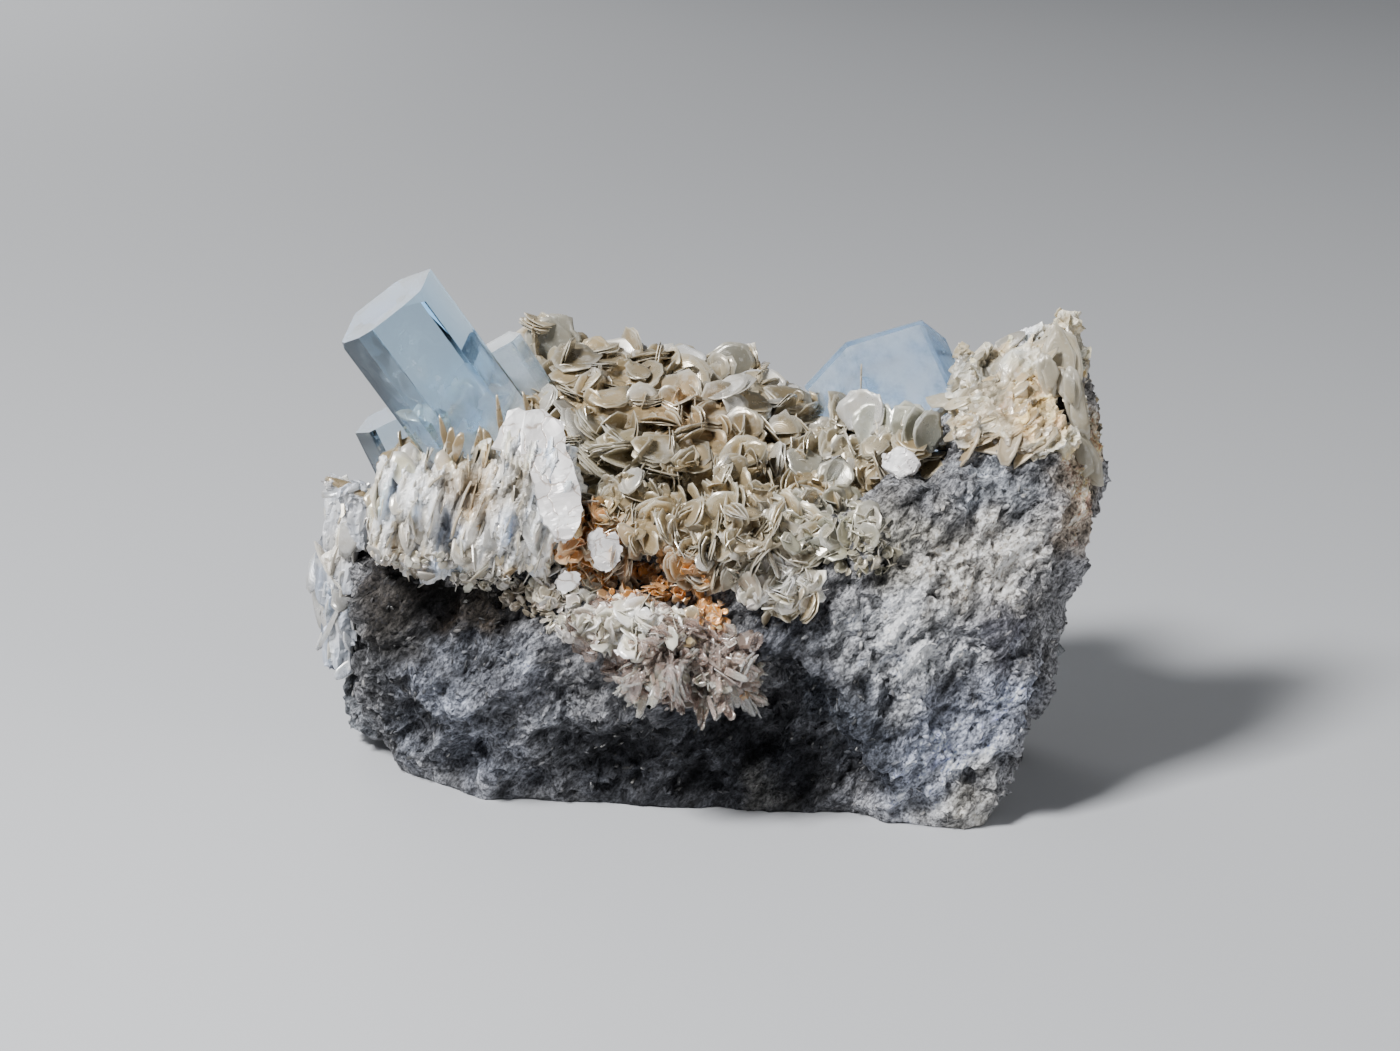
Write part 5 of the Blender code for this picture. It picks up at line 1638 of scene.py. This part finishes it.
# %% Pieces of single plates
SINGLE_LEAVES = 4
singles = Plates(29, sides=20, rings=(0.45, 0.8, 1.0), cuts=2)
chance = singles.chance
for centre, facing, rise, wide, tall, thick, bend, colour in SINGLE_PLATES:
    for i in range(SINGLE_LEAVES):
        shift = jolt(chance, 0.06) * wide
        where = Vector(centre) + shift - Vector(facing).normalized() * i * thick * 0.7
        less = 1 - 0.06 * i * chance.random()
        tone = colour * chance.uniform(0.75, 1.1)
        singles.add(where, facing, rise, wide * less, tall * less, thick * 0.5, bend, tone, tone * 1.2)
plates_piece("single_plates", singles, PEARL, "mica")
blades = Plates(30, sides=10, rings=(0.7, 1.0), form="spear")
for *shape, colour in BLADES:
    blades.add(*shape, colour, colour * 1.2)
plates_piece("thin_blades", blades, MICA, "mica")

# %% [markdown]
# ## Albite
#
# Below the crust hangs a spray of albite: pinkish laths, flat and clear enough to glow. They grow in
# sheaves, side by side and nearly parallel, and the sheaves point away from one root. Hair could be
# combed into sheaves, but a lath is flat with corners, so each is a long narrow plate. A rough lump fills
# the room behind them.

# %% Albite laths
ALBITE_PINK = np.array((0.90, 0.70, 0.62))
ALBITE_ICE = np.array((0.05, 0.10, 0.12))
ALBITE_ROOT = (-4, 31)  # x and z of the point they grow from, in mm
ALBITE_Y = -22  # the sheaves' places are given where this plane in mm crosses the view
SHEAF_AREAS = (((-4, 25.5), 10, 6.5, 78), ((1.5, 21), 4, 3, 13))  # middle, half width, half height, number


def place_in(chance, middle, half_width, half_height):
    """A random x and z in an ellipse."""
    turn, out = chance.uniform(0, math.tau), math.sqrt(chance.random())
    return middle[0] + half_width * out * math.cos(turn), middle[1] + half_height * out * math.sin(turn)


def add_sheaf(plates, place, x, z):
    """Laths of much the same direction, length and light, which point away from the root."""
    chance = plates.chance
    away = Vector((x - ALBITE_ROOT[0], 0, z - ALBITE_ROOT[1])).normalized() * chance.uniform(0.4, 1.0)
    out = (away + nudge(chance, 0.4) - VIEW_LINE * chance.uniform(0, 0.5)).normalized()
    across = jolt(chance, 1)
    length, light = chance.uniform(2.2, 6.0), chance.uniform(0.75, 1.3)
    for _ in range(chance.choice((4, 6, 8, 10))):
        rise = (out + nudge(chance, 0.13)).normalized()
        facing = rise.cross(across + nudge(chance, 0.25))
        tall, wide = length * chance.uniform(0.6, 1.1), chance.uniform(0.6, 1.8)
        tone = ALBITE_PINK * light * chance.uniform(0.8, 1.15) + ALBITE_ICE * chance.random()
        where = place + nudge(chance, 0.6) + rise * tall * 0.15
        plates.add(where, facing, rise, wide, tall, chance.uniform(0.2, 0.45), 0.0, tone, tone * 1.2)

# %% Albite pieces
ALBITE_AXES = directions((1, 0, 0), (0, -0.5, -1))
ALBITE_TERMS = ((chips, (1.5, 1.5, 2), 0.6, 95),)
albite_mesh, local, push = lump_mesh("albite_blades", 0.5, 8, ALBITE_AXES, ALBITE_TERMS, 1.8)
paint(albite_mesh, lump_tints(local, push, points_of(albite_mesh), ALBITE_PINK * 0.6, (), 96))
albite_mesh.attributes.new("ring", "FLOAT", "POINT")
piece("albite_root", albite_mesh, [ALBITE], "albite", "albite_blades")
laths = Plates(7, sides=8, rings=(0.7, 1.0), form="lath")
albite_tree = joined_tree(rock_mesh, albite_mesh)
for *area, sheaves in SHEAF_AREAS:
    for _ in range(sheaves):
        x, z = place_in(laths.chance, *area)
        place, normal = seen_at(albite_tree, (x, ALBITE_Y, z))
        if normal is not None:
            add_sheaf(laths, place, x, z)
plates_piece("albite_laths", laths, ALBITE, "albite", "albite_blades")

# %% [markdown]
# Small flakes of mica lie in every direction between the crust and the albite, under the left books and
# in the valley before the large prism. A physics simulation could drop them, but it would take long and
# pile them up at the foot. So each is put on whatever the front shows at a random place in its zone. The
# white ones are frosted, so they are a mesh of their own.

# %% Loose flakes
ZONE_Y = -20  # the zones' places are given where this plane in mm crosses the view
FLAKE_ZONES = (  # x and z of the middle, half width, half height, number, sizes, colour
    ((-18, 43), 3.2, 5.5, 110, (1.5, 3.8), RUST), ((-17, 44.5), 3, 6, 45, (1.5, 4.0), TAN * 1.2),
    ((-11.5, 30.6), 7.5, 3.6, 290, (1.0, 4.2), WHITE * 1.4), ((-3, 25), 8, 5, 120, (0.8, 2.0), WHITE * 1.2),
    ((-21, 36), 5, 2.5, 90, (1.0, 3.0), WHITE * 1.1),
    ((-42, 40.5), 6, 1.0, 60, (0.6, 1.8), WHITE * 0.8), ((-33, 37.5), 5, 1.3, 90, (0.6, 2.0), WHITE * 0.9),
    ((-26, 34.5), 4.5, 2.2, 110, (0.6, 2.2), (0.56, 0.50, 0.42)), ((-21, 31), 3, 2.0, 60, (0.6, 2.0), WHITE),
    ((10, 36.5), 6, 4, 120, (1.5, 4.0), SILVER), ((-9, 37.2), 9, 3.2, 200, (0.8, 2.6), RUST),
    ((0, 31), 2.5, 4, 70, (0.8, 2.4), RUST * 1.1), ((-1, 30), 3.5, 3.5, 60, (0.8, 2.4), TAN * 1.3),
    ((16, 46), 8, 4.5, 150, (2.0, 5.0), (0.56, 0.56, 0.48)), ((22, 42), 5, 4, 90, (0.8, 2.4), GREYISH * 0.9),
    ((5, 20.2), 1.2, 1.2, 16, (0.8, 1.6), (0.75, 0.33, 0.04)),
)

# %% Dropping flakes


def drop_flakes(plates, tree, middle, half_width, half_height, count, sizes, colour):
    """Flakes on what the front shows in one zone, each turned and tinted a little its own way."""
    chance = plates.chance
    for _ in range(count):
        x, z = place_in(chance, middle, half_width, half_height)
        place, normal = seen_at(tree, (x, ZONE_Y, z))
        if normal is None:
            continue
        facing = normal + nudge(chance, 0.55)
        rise = nudge(chance, 1) + normal * 0.8
        wide = chance.uniform(*sizes)
        tint = np.array(colour) * chance.uniform(0.65, 1.25)
        tint = tint * np.array((1, chance.uniform(0.94, 1), chance.uniform(0.85, 1)))
        tint = tint + (CREAM - tint) * chance.random() ** 3 * 0.7
        where = place + normal * chance.uniform(0, 0.8)
        tall = wide * chance.uniform(0.7, 1.4)
        plates.add(where, facing, rise, wide, tall, 0.15, chance.uniform(-0.05, 0.2), tint, tint * 1.15)


WHITE_ABOVE = 0.7  # a zone whose colour is above this in red, green and blue holds white flakes
flakes = Plates(31, sides=8, cuts=2)
white_flakes = Plates(32, sides=8, cuts=2)
front_tree = joined_tree(rock_mesh, bed_mesh, books_mesh, ridge_mesh, albite_mesh)
for zone in FLAKE_ZONES:
    drop_flakes(white_flakes if min(zone[-1]) > WHITE_ABOVE else flakes, front_tree, *zone)
plates_piece("loose_flakes", flakes, PEARL, "silver_mica")
plates_piece("white_loose_flakes", white_flakes, WHITE_MICA, "silver_mica")

# %% [markdown]
# The white flake by the right bowl is one thick plate and needs no new shape. Its own solid is remeshed
# and smoothed, which rounds its edges, made a little uneven, and given the white cleavage finish.

# %% White flake
flake_mesh = even_copy("white_flake", 0.25, 2)
flake_points = points_of(flake_mesh)
flake_push = 0.25 * chips(flake_points, 1.6 * MM, 75)
flake_push = flake_push + 0.15 * lumps(flake_points, 1.0 * MM, 76)
put_points(flake_mesh, flake_points + normals_of(flake_mesh) * (flake_push * MM)[:, None])
piece("white_flake_skin", flake_mesh, [CLEAVAGE], "silver_mica", "white_flake")
